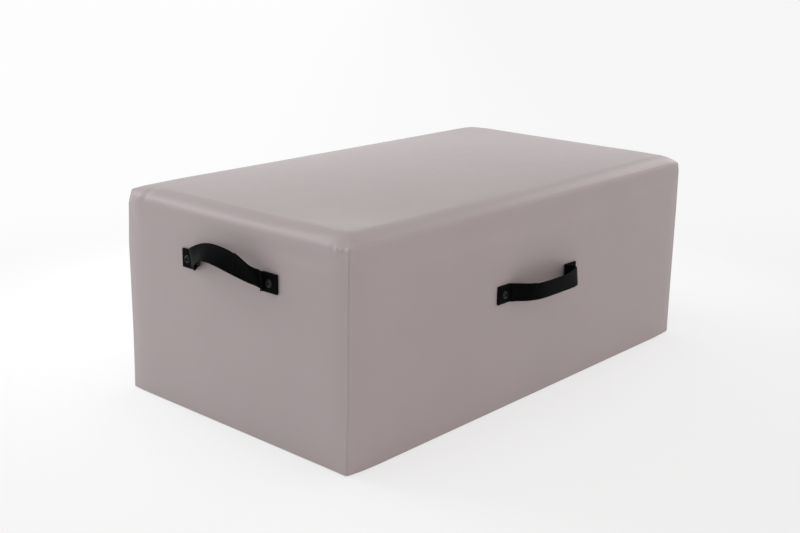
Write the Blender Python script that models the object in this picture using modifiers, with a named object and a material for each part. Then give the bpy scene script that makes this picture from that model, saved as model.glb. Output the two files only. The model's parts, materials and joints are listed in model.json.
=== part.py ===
"""Pilates sitting box: a padded, vinyl-covered plywood box with webbing carrying handles.

Units are metres, +Z is up, X runs along the box and Y across it. The origin is the middle of
the underside, on the floor. The front is -Y and the left end is -X.
"""
import math

import bmesh
import bpy
from mathutils import Vector

# Overall sizes, over the vinyl
BODY_LENGTH = 0.724
BODY_WIDTH = 0.411
BODY_HEIGHT = 0.292
CORNER_RADIUS = 0.009
BOTTOM_RADIUS = 0.004

# Seat cushion: the edge falls away as a quarter ellipse, and the middle is crowned
EDGE_REACH = 0.032
EDGE_DROP = 0.016
CROWN_HEIGHT = 0.010
CROWN_POWER = 2.2
CORNER_TUCK = 0.002
TUCK_HEIGHT = 0.045

# Layers, from the outside inwards
COVER_THICKNESS = 0.0012
FLANGE_WIDTH = 0.032
SIDE_FOAM_THICKNESS = 0.006
TOP_FOAM_THICKNESS = 0.038
PANEL_THICKNESS = 0.012
BASE_SHEET_THICKNESS = 0.0008
BASE_SHEET_INSET = 0.014
BASE_SHEET_CORNER = 0.010
CLEARANCE = 0.0003

# Carcass
DECK_EDGE_ROUNDING = 0.002
RAIL_SIZE = 0.022
BLOCK_SIZE = 0.024
BLOCK_CHAMFER = 0.006
RIB_SPACING = 0.240
RIB_HOLE_LENGTH = 0.180
RIB_HOLE_HEIGHT = 0.090

# Carrying handles of one inch webbing
WEB_WIDTH = 0.0254
WEB_THICKNESS = 0.0014
HANDLE_SCREW_SPACING = 0.150
TAB_OUTER_LENGTH = 0.0125
TAB_INNER_LENGTH = 0.0135
TAB_FOLD_GAP = 0.0003
HANDLE_BOW = 0.029
HANDLE_BEND_RADIUS = 0.0025
HANDLE_SQUARENESS = 2.6
HANDLE_OVERHANG = 0.005
OVERHANG_POWER = 4
LIFT_POWER = 1.7
SPLIT_MARGIN = 0.0038
END_HANDLE_DROP = 0.0319
SIDE_HANDLE_DROP = 0.0809
HANDLE_SHIFT = 0.005
RAISED_LIFT = 0.025
RAISED_TILT = math.radians(25)
HANGING_LIFT = -0.0015
HANGING_TILT = math.radians(-8)

# M6 button head screw and its pronged tee nut
SCREW_RADIUS = 0.003
SCREW_LENGTH = 0.030
SCREW_HOLE_CLEARANCE = 0.0004
HEAD_RADIUS = 0.00525
HEAD_HEIGHT = 0.0033
HEAD_RIM_HEIGHT = 0.0006
SOCKET_ACROSS_FLATS = 0.004
SOCKET_DEPTH = 0.002
TEE_FLANGE_RADIUS = 0.0095
TEE_FLANGE_THICKNESS = 0.0015
TEE_BARREL_RADIUS = 0.00395
TEE_BARREL_LENGTH = 0.009
PRONG_LENGTH = 0.006
PRONG_WIDTH = 0.003
PRONG_THICKNESS = 0.0012
PRONG_CIRCLE_RADIUS = 0.0076

# Facets
CORNER_SEGMENTS = 3
BOTTOM_SEGMENTS = 2
EDGE_SEGMENTS = 5
TURNED_STEPS = 24
HOLE_SIDES = 24
SPLIT_SIDES = 64
ARCH_SEGMENTS = 22
FOLD_SEGMENTS = 4
BEND_SEGMENTS = 3
LONG_SIDE_FRACTIONS = (0.1, 0.3, 0.5, 0.7, 0.9)
SHORT_SIDE_FRACTIONS = (0.18, 0.5, 0.82)
CROWN_FRACTIONS = (0.15, 0.4, 0.7, 1.0)
WELD_DISTANCE = 0.00001
CUTTER_OVERRUN = 0.004

# Sizes that follow from the ones above
HALF_LENGTH = BODY_LENGTH / 2
HALF_WIDTH = BODY_WIDTH / 2
COVER_BOTTOM = BASE_SHEET_THICKNESS + CLEARANCE
CARCASS_BOTTOM = COVER_BOTTOM + COVER_THICKNESS + CLEARANCE
FOAM_INSET = COVER_THICKNESS + CLEARANCE
FOAM_BOTTOM = COVER_BOTTOM + BOTTOM_RADIUS + COVER_THICKNESS
CARCASS_INSET = FOAM_INSET + SIDE_FOAM_THICKNESS + CLEARANCE
CARCASS_HALF_LENGTH = HALF_LENGTH - CARCASS_INSET
CARCASS_HALF_WIDTH = HALF_WIDTH - CARCASS_INSET
DECK_TOP = BODY_HEIGHT - FOAM_INSET - TOP_FOAM_THICKNESS - CLEARANCE
DECK_BOTTOM = DECK_TOP - PANEL_THICKNESS
PANEL_TOP = DECK_BOTTOM - CLEARANCE
INNER_HALF_LENGTH = CARCASS_HALF_LENGTH - PANEL_THICKNESS - CLEARANCE
INNER_HALF_WIDTH = CARCASS_HALF_WIDTH - PANEL_THICKNESS - CLEARANCE
RAIL_TOP = CARCASS_BOTTOM + RAIL_SIZE
END_HANDLE_HEIGHT = PANEL_TOP - END_HANDLE_DROP
SIDE_HANDLE_HEIGHT = PANEL_TOP - SIDE_HANDLE_DROP
EDGE_SLOPE = CROWN_HEIGHT * CROWN_POWER / (HALF_WIDTH - EDGE_REACH)
EDGE_END_ANGLE = math.atan2(EDGE_DROP, EDGE_REACH * EDGE_SLOPE)
WALL_TOP = BODY_HEIGHT - CROWN_HEIGHT - EDGE_DROP * math.sin(EDGE_END_ANGLE)
CROWN_EDGE_INSET = EDGE_REACH * (1 - math.cos(EDGE_END_ANGLE))
SPLIT_RADIUS = WEB_WIDTH / 2 + SPLIT_MARGIN
SCREW_HOLE_RADIUS = SCREW_RADIUS + SCREW_HOLE_CLEARANCE
UNDER_LAYER_OUT = CLEARANCE + WEB_THICKNESS / 2
OUTER_LAYER_OUT = UNDER_LAYER_OUT + WEB_THICKNESS + TAB_FOLD_GAP
HEAD_SEAT = OUTER_LAYER_OUT + WEB_THICKNESS / 2 + CLEARANCE
PANEL_BACK = -(CARCASS_INSET + PANEL_THICKNESS)
TEE_SEAT = PANEL_BACK - CLEARANCE


def clear_scene():
    """Removes every object that the file starts with."""
    for item in list(bpy.data.objects):
        bpy.data.objects.remove(item, do_unlink=True)


def make_collection(name, hidden=False):
    """Adds a collection to the scene; a hidden one holds cutters."""
    collection = bpy.data.collections.new(name)
    bpy.context.scene.collection.children.link(collection)
    collection.hide_render = hidden
    return collection


def make_material(name, colour, roughness, metallic=0.0):
    """A Principled material of one colour."""
    material = bpy.data.materials.new(name)
    material.use_nodes = True
    shader = material.node_tree.nodes["Principled BSDF"]
    shader.inputs["Base Color"].default_value = (*colour, 1.0)
    shader.inputs["Roughness"].default_value = roughness
    shader.inputs["Metallic"].default_value = metallic
    material.diffuse_color = (*colour, 1.0)
    return material


clear_scene()
PARTS = make_collection("pilates_sitting_box")
CUTTERS = make_collection("cutters", hidden=True)

VINYL = make_material("taupe_vinyl", (0.42, 0.37, 0.37), 0.42)
FOAM = make_material("cream_foam", (0.80, 0.74, 0.58), 0.95)
PLYWOOD = make_material("birch_plywood", (0.66, 0.50, 0.32), 0.70)
SOFTWOOD = make_material("pine_batten", (0.72, 0.55, 0.34), 0.75)
WEBBING = make_material("black_webbing", (0.012, 0.013, 0.014), 0.75)
BLACK_STEEL = make_material("black_oxide_steel", (0.02, 0.02, 0.022), 0.38, 0.9)
ZINC_STEEL = make_material("zinc_plated_steel", (0.62, 0.62, 0.60), 0.35, 1.0)
BASE_SHEET = make_material("black_non_slip_sheet", (0.02, 0.02, 0.02), 0.9)


def add_part(name, shape, material, parent=None):
    """Turns a bmesh into a named object of the box and frees the bmesh."""
    mesh = bpy.data.meshes.new(name)
    shape.to_mesh(mesh)
    shape.free()
    mesh.materials.append(material)
    item = bpy.data.objects.new(name, mesh)
    item.parent = parent
    PARTS.objects.link(item)
    return item


def add_cutter(name, shape, parent=None):
    """Turns a bmesh into a cutter, which is shown as wires and never rendered."""
    mesh = bpy.data.meshes.new(name)
    shape.to_mesh(mesh)
    shape.free()
    item = bpy.data.objects.new(name, mesh)
    item.parent = parent
    item.hide_render = True
    item.display_type = "WIRE"
    CUTTERS.objects.link(item)
    return item


def boolean(item, other, operation="DIFFERENCE"):
    """Cuts, keeps or joins with another object."""
    modifier = item.modifiers.new(operation.lower(), "BOOLEAN")
    modifier.operation = operation
    modifier.solver = "EXACT"
    modifier.object = other


def add_block(shape, low, high):
    """Adds a box between two corners to a bmesh and returns its vertices."""
    low = Vector(low)
    high = Vector(high)
    made = bmesh.ops.create_cube(shape, size=1.0)
    middle = (low + high) / 2
    for vertex in made["verts"]:
        vertex.co = middle + Vector(side * length for side, length in zip(vertex.co, high - low))
    return made["verts"]


def block(low, high):
    """A bmesh holding one box."""
    shape = bmesh.new()
    add_block(shape, low, high)
    return shape


def round_edges(shape, direction, radius, segments):
    """Rounds the edges of a box that run along one axis (0 is X, 1 is Y, 2 is Z)."""
    edges = []
    for edge in shape.edges:
        run = edge.verts[1].co - edge.verts[0].co
        if abs(run[direction]) > 0.99 * run.length:
            edges.append(edge)
    bmesh.ops.bevel(shape, geom=edges, offset=radius, offset_type="OFFSET", segments=segments,
                    profile=0.5, affect="EDGES", clamp_overlap=True)


def add_rod(shape, start, end, radius, sides):
    """Adds a capped cylinder between two points to a bmesh."""
    start = Vector(start)
    end = Vector(end)
    made = bmesh.ops.create_cone(shape, cap_ends=True, segments=sides, radius1=radius,
                                 radius2=radius, depth=(end - start).length)
    turn = Vector((0, 0, 1)).rotation_difference(end - start)
    for vertex in made["verts"]:
        vertex.co = (start + end) / 2 + turn @ vertex.co


def smooth(item, angle=40):
    """Shades a round piece smooth and keeps the edges sharper than an angle in degrees."""
    item.data.shade_smooth()
    item.data.set_sharp_from_angle(angle=math.radians(angle))


def turned(name, profile, closed, material, parent, location):
    """A piece turned about its own axis, which points out of the face that it sits on."""
    shape = bmesh.new()
    corners = [shape.verts.new((radius, 0, height)) for radius, height in profile]
    for first, second in zip(corners, corners[1:]):
        shape.edges.new((first, second))
    if closed:
        shape.edges.new((corners[-1], corners[0]))
    item = add_part(name, shape, material, parent)
    item.location = location
    item.rotation_euler = (-math.pi / 2, 0, 0)
    spin = item.modifiers.new("turn", "SCREW")
    spin.steps = TURNED_STEPS
    spin.render_steps = TURNED_STEPS
    spin.use_merge_vertices = True
    spin.merge_threshold = WELD_DISTANCE
    spin.use_smooth_shade = False
    return item


def corner_tuck(height):
    """How far the corners are drawn in at a height on the wall."""
    reach = (height - (WALL_TOP - TUCK_HEIGHT)) / TUCK_HEIGHT
    return CORNER_TUCK * min(max(reach, 0.0), 1.0) ** 2


def crown_rise(x, y):
    """Height of the crown over the cushion's edge line."""
    across = min(abs(x) / (HALF_LENGTH - CROWN_EDGE_INSET), 1.0)
    along = min(abs(y) / (HALF_WIDTH - CROWN_EDGE_INSET), 1.0)
    return CROWN_HEIGHT * (1 - across ** CROWN_POWER) * (1 - along ** CROWN_POWER)


def ring_outline(half_x, half_y, radius, tuck):
    """Points of a rectangle with round corners, anticlockwise, its corners drawn in."""
    corners = []
    for index, (side_x, side_y) in enumerate(((1, 1), (-1, 1), (-1, -1), (1, -1))):
        arc = []
        for step in range(CORNER_SEGMENTS + 1):
            angle = math.pi / 2 * (index + step / CORNER_SEGMENTS)
            x = side_x * (half_x - radius - tuck) + radius * math.cos(angle)
            y = side_y * (half_y - radius - tuck) + radius * math.sin(angle)
            arc.append((x, y))
        corners.append(arc)
    outline = []
    for index, arc in enumerate(corners):
        outline.extend(arc)
        sides = LONG_SIDE_FRACTIONS if index in (0, 2) else SHORT_SIDE_FRACTIONS
        if index in (0, 2):
            level = half_y if index == 0 else -half_y
            start, end = arc[-1][0], corners[(index + 1) % 4][0][0]
            outline.extend((start + (end - start) * share, level) for share in sides)
        else:
            level = -half_x if index == 1 else half_x
            start, end = arc[-1][1], corners[(index + 1) % 4][0][1]
            outline.extend((level, start + (end - start) * share) for share in sides)
    return outline


def skin_ring(inset, height, out, up, offset, tuck):
    """One ring of the skin, moved inwards by an offset along the skin's own normal."""
    inset += out * offset
    half_x = HALF_LENGTH - inset
    half_y = HALF_WIDTH - inset
    radius = min(CORNER_RADIUS - out * offset, half_y)
    outline = ring_outline(half_x, half_y, radius, tuck)
    return [(x, y, height - up * offset) for x, y in outline]


def skin_rings(offset, with_bottom):
    """Rings of the skin from the bottom edge to the ridge of the crown.

    An offset of nothing is the outside of the vinyl. The bottom holds the turned-under flange and
    the rounding over the floor edge; without it the rings start at the foot of the side foam.
    """
    rings = []
    if with_bottom:
        rings.append(skin_ring(FLANGE_WIDTH, COVER_BOTTOM, 0, -1, offset, 0))
        for step in range(BOTTOM_SEGMENTS + 1):
            angle = math.pi / 2 * (1 - step / BOTTOM_SEGMENTS)
            inset = BOTTOM_RADIUS * (1 - math.cos(angle))
            height = COVER_BOTTOM + BOTTOM_RADIUS * (1 - math.sin(angle))
            rings.append(skin_ring(inset, height, math.cos(angle), -math.sin(angle), offset, 0))
    else:
        rings.append(skin_ring(0, FOAM_BOTTOM, 1, 0, offset, 0))
    for share in (1.0, 0.5):
        height = WALL_TOP - TUCK_HEIGHT * share
        rings.append(skin_ring(0, height, 1, 0, offset, corner_tuck(height)))
    for step in range(EDGE_SEGMENTS + 1):
        angle = EDGE_END_ANGLE * step / EDGE_SEGMENTS
        inset = EDGE_REACH * (1 - math.cos(angle))
        height = WALL_TOP + EDGE_DROP * math.sin(angle)
        normal = Vector((math.cos(angle) / EDGE_REACH, math.sin(angle) / EDGE_DROP)).normalized()
        rings.append(skin_ring(inset, height, normal.x, normal.y, offset, CORNER_TUCK))
    edge_height = WALL_TOP + EDGE_DROP * math.sin(EDGE_END_ANGLE)
    for share in CROWN_FRACTIONS:
        inset = CROWN_EDGE_INSET + (HALF_WIDTH - CROWN_EDGE_INSET) * share
        ring = skin_ring(inset, edge_height, 0, 1, offset, CORNER_TUCK * (1 - share))
        rings.append([(x, y, z + crown_rise(x, y)) for x, y, z in ring])
    return rings


def loft(shape, rings):
    """Joins rings of equal counts with faces that look outwards, and returns the vertex rings.

    Each face is split along the same diagonal, so that skins one inside the other stay apart.
    """
    vertex_rings = [[shape.verts.new(point) for point in ring] for ring in rings]
    for lower, upper in zip(vertex_rings, vertex_rings[1:]):
        count = len(lower)
        for index in range(count):
            after = (index + 1) % count
            shape.faces.new((lower[index], lower[after], upper[after]))
            shape.faces.new((lower[index], upper[after], upper[index]))
    return vertex_rings


def skin_shape(offset, with_bottom, capped):
    """The skin as a surface, open below unless it is capped."""
    shape = bmesh.new()
    vertex_rings = loft(shape, skin_rings(offset, with_bottom))
    if capped:
        shape.faces.new(list(reversed(vertex_rings[0])))
    bmesh.ops.remove_doubles(shape, verts=shape.verts, dist=WELD_DISTANCE)
    return shape


def make_cover(hole_cutters):
    """The sewn vinyl cover: a crowned top, four flaps joined at the corners, turned under."""
    cover = add_part("vinyl_cover", skin_shape(0.0, True, False), VINYL)
    smooth(cover, 50)
    wall = cover.modifiers.new("wall", "SOLIDIFY")
    wall.thickness = COVER_THICKNESS
    wall.offset = -1
    wall.use_even_offset = True
    for cutter in hole_cutters:
        boolean(cover, cutter)


def make_foam(hole_cutters):
    """Foam under the cover: the crowned seat slab and four thin side sheets."""
    envelope = add_cutter("foam_envelope", skin_shape(FOAM_INSET, False, True))
    outer_x = HALF_LENGTH
    outer_y = HALF_WIDTH
    inner_x = CARCASS_HALF_LENGTH + CLEARANCE
    inner_y = CARCASS_HALF_WIDTH + CLEARANCE
    top = DECK_TOP + CLEARANCE
    sheet_top = DECK_TOP
    slabs = {
        "top_foam": ((-outer_x, -outer_y, top), (outer_x, outer_y, BODY_HEIGHT)),
        "side_foam_front": ((-outer_x, -outer_y, 0), (outer_x, -inner_y, sheet_top)),
        "side_foam_back": ((-outer_x, inner_y, 0), (outer_x, outer_y, sheet_top)),
        "end_foam_left": ((-outer_x, -inner_y + CLEARANCE, 0),
                          (-inner_x, inner_y - CLEARANCE, sheet_top)),
        "end_foam_right": ((inner_x, -inner_y + CLEARANCE, 0),
                           (outer_x, inner_y - CLEARANCE, sheet_top)),
    }
    for name, (low, high) in slabs.items():
        slab = add_part(name, block(low, high), FOAM)
        boolean(slab, envelope, "INTERSECT")
        if name in hole_cutters:
            boolean(slab, hole_cutters[name])


def make_base_sheet():
    """The black non-slip sheet that closes the underside and stands on the floor."""
    half_x = HALF_LENGTH - BASE_SHEET_INSET
    half_y = HALF_WIDTH - BASE_SHEET_INSET
    shape = block((-half_x, -half_y, 0), (half_x, half_y, BASE_SHEET_THICKNESS))
    round_edges(shape, 2, BASE_SHEET_CORNER, 4)
    add_part("non_slip_base", shape, BASE_SHEET)


def make_carcass(tee_cutters):
    """The plywood box: deck, four panels, two ribs, corner blocks and bottom rails."""
    half_x = CARCASS_HALF_LENGTH
    half_y = CARCASS_HALF_WIDTH
    deck = block((-half_x, -half_y, DECK_BOTTOM), (half_x, half_y, DECK_TOP))
    top_edges = [edge for edge in deck.edges if all(v.co.z > DECK_TOP - CLEARANCE for v in edge.verts)]
    bmesh.ops.bevel(deck, geom=top_edges, offset=DECK_EDGE_ROUNDING, segments=2, profile=0.5,
                    affect="EDGES")
    add_part("deck_panel", deck, PLYWOOD)

    inner_y = half_y - PANEL_THICKNESS
    end_y = inner_y - CLEARANCE
    inner_x = half_x - PANEL_THICKNESS
    panels = {
        "side_panel_front": ((-half_x, -half_y), (half_x, -inner_y)),
        "side_panel_back": ((-half_x, inner_y), (half_x, half_y)),
        "end_panel_left": ((-half_x, -end_y), (-inner_x, end_y)),
        "end_panel_right": ((inner_x, -end_y), (half_x, end_y)),
    }
    for name, (low, high) in panels.items():
        panel = add_part(name, block((*low, CARCASS_BOTTOM), (*high, PANEL_TOP)), PLYWOOD)
        if name in tee_cutters:
            boolean(panel, tee_cutters[name])

    rail_x = INNER_HALF_LENGTH
    rail_y = INNER_HALF_WIDTH
    short_y = rail_y - RAIL_SIZE - CLEARANCE
    rails = {
        "bottom_rail_front": ((-rail_x, -rail_y), (rail_x, -rail_y + RAIL_SIZE)),
        "bottom_rail_back": ((-rail_x, rail_y - RAIL_SIZE), (rail_x, rail_y)),
        "bottom_rail_left": ((-rail_x, -short_y), (-rail_x + RAIL_SIZE, short_y)),
        "bottom_rail_right": ((rail_x - RAIL_SIZE, -short_y), (rail_x, short_y)),
    }
    for name, (low, high) in rails.items():
        add_part(name, block((*low, CARCASS_BOTTOM), (*high, RAIL_TOP)), SOFTWOOD)

    block_bottom = RAIL_TOP + CLEARANCE
    for name_x, side_x in (("left", -1), ("right", 1)):
        for name_y, side_y in (("front", -1), ("back", 1)):
            make_corner_block(f"corner_block_{name_y}_{name_x}", side_x, side_y, block_bottom)

    for name, side in (("left", -1), ("right", 1)):
        make_rib(f"cross_rib_{name}", side * RIB_SPACING / 2, block_bottom)


def make_corner_block(name, side_x, side_y, bottom):
    """A glue block in one corner, its inner edge chamfered."""
    far_x = side_x * INNER_HALF_LENGTH
    far_y = side_y * INNER_HALF_WIDTH
    near_x = far_x - side_x * BLOCK_SIZE
    near_y = far_y - side_y * BLOCK_SIZE
    low = (min(far_x, near_x), min(far_y, near_y), bottom)
    high = (max(far_x, near_x), max(far_y, near_y), PANEL_TOP)
    shape = block(low, high)
    inner = [edge for edge in shape.edges
             if all(abs(v.co.x - near_x) < CLEARANCE and abs(v.co.y - near_y) < CLEARANCE
                    for v in edge.verts)]
    bmesh.ops.bevel(shape, geom=inner, offset=BLOCK_CHAMFER, segments=1, affect="EDGES")
    add_part(name, shape, SOFTWOOD)


def make_rib(name, middle, bottom):
    """A cross rib on the rails, under the deck, with a long lightening hole."""
    half = PANEL_THICKNESS / 2
    shape = block((middle - half, -INNER_HALF_WIDTH, bottom), (middle + half, INNER_HALF_WIDTH, PANEL_TOP))
    rib = add_part(name, shape, PLYWOOD)
    centre = (bottom + PANEL_TOP) / 2
    reach = half + CUTTER_OVERRUN
    hole = block((middle - reach, -RIB_HOLE_LENGTH / 2, centre - RIB_HOLE_HEIGHT / 2),
                 (middle + reach, RIB_HOLE_LENGTH / 2, centre + RIB_HOLE_HEIGHT / 2))
    round_edges(hole, 0, min(RIB_HOLE_HEIGHT, RIB_HOLE_LENGTH) * 0.499, 8)
    boolean(rib, add_cutter(f"{name}_hole", hole))


def strap_path(lift):
    """The middle line of a strap in its handle's frame: X along, Y out of the face, Z up.

    The end is folded under, lies on the face as a tab of two layers, turns out at the tab's inner
    end and bows across as a squarish arch, whose shoulders stand out over the tabs. Its middle is
    lifted or hangs by a little. Each point comes with its share of the arch's height.
    """
    fold_radius = (OUTER_LAYER_OUT - UNDER_LAYER_OUT) / 2
    outer_end = HANDLE_SCREW_SPACING / 2 + TAB_OUTER_LENGTH - fold_radius - WEB_THICKNESS / 2
    inner_end = HANDLE_SCREW_SPACING / 2 - TAB_INNER_LENGTH
    half = [(inner_end, UNDER_LAYER_OUT)]
    for step in range(FOLD_SEGMENTS + 1):
        angle = math.pi * step / FOLD_SEGMENTS
        along = outer_end + fold_radius * math.sin(angle)
        out = UNDER_LAYER_OUT + fold_radius * (1 - math.cos(angle))
        half.append((along, out))
    for step in range(BEND_SEGMENTS):
        angle = math.pi / 2 * step / BEND_SEGMENTS
        along = inner_end + HANDLE_BEND_RADIUS * (1 - math.sin(angle))
        out = OUTER_LAYER_OUT + HANDLE_BEND_RADIUS * (1 - math.cos(angle))
        half.append((along, out))
    spring = OUTER_LAYER_OUT + HANDLE_BEND_RADIUS
    rise = HANDLE_BOW - WEB_THICKNESS / 2 - spring
    power = HANDLE_SQUARENESS
    arch = []
    for step in range(ARCH_SEGMENTS + 1):
        angle = math.pi * step / ARCH_SEGMENTS
        cosine = math.cos(angle)
        sine = math.sin(angle)
        reach = (abs(cosine) ** power + abs(sine) ** power) ** (1 / power)
        share = sine / reach
        shoulder = HANDLE_OVERHANG * (1 - (1 - share) ** OVERHANG_POWER)
        along = (inner_end + shoulder) * cosine / reach
        arch.append((Vector((along, spring + rise * share, lift * share ** LIFT_POWER)), share))
    start = [(Vector((along, out, 0)), 0.0) for along, out in half]
    end = [(Vector((-along, out, 0)), 0.0) for along, out in reversed(half)]
    return start + arch + end


def strap_shape(lift, tilt):
    """A strap as a closed ribbon of webbing along its path, its middle tilted by an angle."""
    path = strap_path(lift)
    sections = []
    for index, (point, share) in enumerate(path):
        before = path[max(index - 1, 0)][0]
        after = path[min(index + 1, len(path) - 1)][0]
        run = ((point - before).normalized() + (after - point).normalized()).normalized()
        ruling = Vector((0, -math.sin(tilt * share), math.cos(tilt * share)))
        square = ruling - run * run.dot(ruling)
        wide = ruling * (WEB_WIDTH / 2 / square.length)
        bend = max((after - point).normalized().dot(run), 0.6) if point != after else 1.0
        thick = run.cross(square.normalized()) * (WEB_THICKNESS / 2 / bend)
        sections.append([point + wide + thick, point - wide + thick, point - wide - thick,
                         point + wide - thick])
    shape = bmesh.new()
    rings = loft(shape, sections)
    shape.faces.new(list(reversed(rings[0])))
    shape.faces.new(rings[-1])
    bmesh.ops.recalc_face_normals(shape, faces=shape.faces)
    return shape


def split_rod(start, end, radius):
    """A rod along the handle's swing axis, which parts the fixed tabs from the swinging grip."""
    shape = bmesh.new()
    add_rod(shape, (start, 0, 0), (end, 0, 0), radius, SPLIT_SIDES)
    return shape


def prong_shape(grow):
    """The four prongs of a tee nut in its own frame, grown on every side for their pockets."""
    shape = bmesh.new()
    for side_x, side_y in ((1, 0), (-1, 0), (0, 1), (0, -1)):
        half_x = (PRONG_THICKNESS if side_x else PRONG_WIDTH) / 2 + grow
        half_y = (PRONG_THICKNESS if side_y else PRONG_WIDTH) / 2 + grow
        x = side_x * PRONG_CIRCLE_RADIUS
        y = side_y * PRONG_CIRCLE_RADIUS
        add_block(shape, (x - half_x, y - half_y, -TEE_FLANGE_THICKNESS / 2),
                  (x + half_x, y + half_y, PRONG_LENGTH + grow))
    return shape


def make_screw(name, parent, along):
    """A button head screw with a hexagon socket, its head on the strap's tab."""
    dome = []
    for step in range(5):
        angle = math.pi / 2 * (1 - step / 4)
        radius = HEAD_RADIUS * math.cos(angle)
        height = HEAD_RIM_HEIGHT + (HEAD_HEIGHT - HEAD_RIM_HEIGHT) * math.sin(angle)
        dome.append((radius, height))
    profile = dome + [(HEAD_RADIUS, 0), (SCREW_RADIUS, 0), (SCREW_RADIUS, -SCREW_LENGTH + SCREW_RADIUS / 3),
                      (SCREW_RADIUS * 2 / 3, -SCREW_LENGTH), (0, -SCREW_LENGTH)]
    screw = turned(name, profile, False, BLACK_STEEL, parent, (along, HEAD_SEAT, 0))
    socket = bmesh.new()
    across_corners = SOCKET_ACROSS_FLATS / 2 / math.cos(math.pi / 6)
    add_rod(socket, (along, HEAD_SEAT + HEAD_HEIGHT - SOCKET_DEPTH, 0),
            (along, HEAD_SEAT + HEAD_HEIGHT + CUTTER_OVERRUN, 0), across_corners, 6)
    boolean(screw, add_cutter(f"{name}_socket", socket, parent))


def make_tee_nut(name, parent, along):
    """A pronged tee nut pressed into the back of the panel."""
    bore = SCREW_HOLE_RADIUS
    profile = [(bore, TEE_BARREL_LENGTH), (TEE_BARREL_RADIUS, TEE_BARREL_LENGTH), (TEE_BARREL_RADIUS, 0),
               (TEE_FLANGE_RADIUS, 0), (TEE_FLANGE_RADIUS, -TEE_FLANGE_THICKNESS),
               (bore, -TEE_FLANGE_THICKNESS)]
    nut = turned(name, profile, True, ZINC_STEEL, parent, (along, TEE_SEAT, 0))
    prongs = add_cutter(f"{name}_prongs", prong_shape(0.0), parent)
    prongs.location = (along, TEE_SEAT, 0)
    prongs.rotation_euler = (-math.pi / 2, 0, 0)
    boolean(nut, prongs, "UNION")


def make_handle(name, turn, face, height, shift, lift, tilt):
    """One carrying handle on a face, shifted along it; returns its screw and tee nut hole cutters."""
    axis = bpy.data.objects.new(f"{name}_axis", None)
    PARTS.objects.link(axis)
    out = Vector((-math.sin(turn), math.cos(turn), 0))
    run = Vector((math.cos(turn), math.sin(turn), 0))
    axis.location = out * face + run * shift + Vector((0, 0, height))
    axis.rotation_euler = (0, 0, turn)
    screw_along = HANDLE_SCREW_SPACING / 2
    strap_end = screw_along + TAB_OUTER_LENGTH + CUTTER_OVERRUN

    holes = bmesh.new()
    nut_holes = bmesh.new()
    for side in (-1, 1):
        along = side * screw_along
        add_rod(holes, (along, PANEL_BACK, 0), (along, HEAD_SEAT, 0), SCREW_HOLE_RADIUS, HOLE_SIDES)
        add_rod(nut_holes, (along, PANEL_BACK - CUTTER_OVERRUN, 0), (along, 0, 0),
                TEE_BARREL_RADIUS + CLEARANCE, HOLE_SIDES)
        pockets = prong_shape(CLEARANCE)
        bmesh.ops.rotate(pockets, verts=pockets.verts, cent=(0, 0, 0),
                         matrix=Vector((0, 0, 1)).rotation_difference(Vector((0, 1, 0))).to_matrix())
        bmesh.ops.translate(pockets, verts=pockets.verts, vec=(along, TEE_SEAT, 0))
        pocket_mesh = bpy.data.meshes.new("pockets")
        pockets.to_mesh(pocket_mesh)
        pockets.free()
        nut_holes.from_mesh(pocket_mesh)
        bpy.data.meshes.remove(pocket_mesh)
    hole_cutter = add_cutter(f"{name}_screw_holes", holes, axis)
    nut_cutter = add_cutter(f"{name}_tee_nut_holes", nut_holes, axis)

    tab_split = SPLIT_RADIUS - CLEARANCE / 2
    grip_split = SPLIT_RADIUS + CLEARANCE / 2
    for letter, start, end in (("a", -strap_end, -screw_along / 2), ("b", screw_along / 2, strap_end)):
        tab = add_part(f"{name}_tab_{letter}", strap_shape(lift, tilt), WEBBING, axis)
        boolean(tab, add_cutter(f"{name}_tab_{letter}_keep", split_rod(start, end, tab_split), axis),
                "INTERSECT")
        boolean(tab, hole_cutter)
    grip = add_part(f"{name}_grip", strap_shape(lift, tilt), WEBBING, axis)
    boolean(grip, add_cutter(f"{name}_grip_cut", split_rod(-strap_end, strap_end, grip_split), axis))

    for letter, side in (("a", -1), ("b", 1)):
        make_screw(f"{name}_screw_{letter}", axis, side * screw_along)
        make_tee_nut(f"{name}_tee_nut_{letter}", axis, side * screw_along)
    return hole_cutter, nut_cutter


def build():
    """Builds the handles first, because their holes pass through the cover, foam and panels.

    They sit a little off the middle of their faces, all towards the front left corner.
    """
    left = make_handle("left_end_handle", math.pi / 2, HALF_LENGTH, END_HANDLE_HEIGHT,
                       -HANDLE_SHIFT, RAISED_LIFT, RAISED_TILT)
    right = make_handle("right_end_handle", -math.pi / 2, HALF_LENGTH, END_HANDLE_HEIGHT,
                        HANDLE_SHIFT, HANGING_LIFT, HANGING_TILT)
    front = make_handle("front_handle", math.pi, HALF_WIDTH, SIDE_HANDLE_HEIGHT,
                        HANDLE_SHIFT, HANGING_LIFT, HANGING_TILT)
    make_cover([left[0], right[0], front[0]])
    make_foam({"end_foam_left": left[0], "end_foam_right": right[0], "side_foam_front": front[0]})
    make_carcass({"end_panel_left": left[1], "end_panel_right": right[1], "side_panel_front": front[1]})
    make_base_sheet()
    bpy.context.view_layer.update()


build()
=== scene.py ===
"""Looks of a pilates sitting box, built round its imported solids.

Units are metres, +Z is up, X runs along the box, the front is -Y and the left end is -X.
The vinyl cover, the webbing handles, the screws, the foam and the base sheet are modelled
here in detail. The plywood carcass keeps its solids and gets its finishes.
"""
import json
import logging
import math
from contextlib import contextmanager
from dataclasses import dataclass, field
from enum import Enum
from typing import Callable, Iterator

import bmesh
import bpy
import numpy as np
from mathutils import Matrix, Vector

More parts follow.
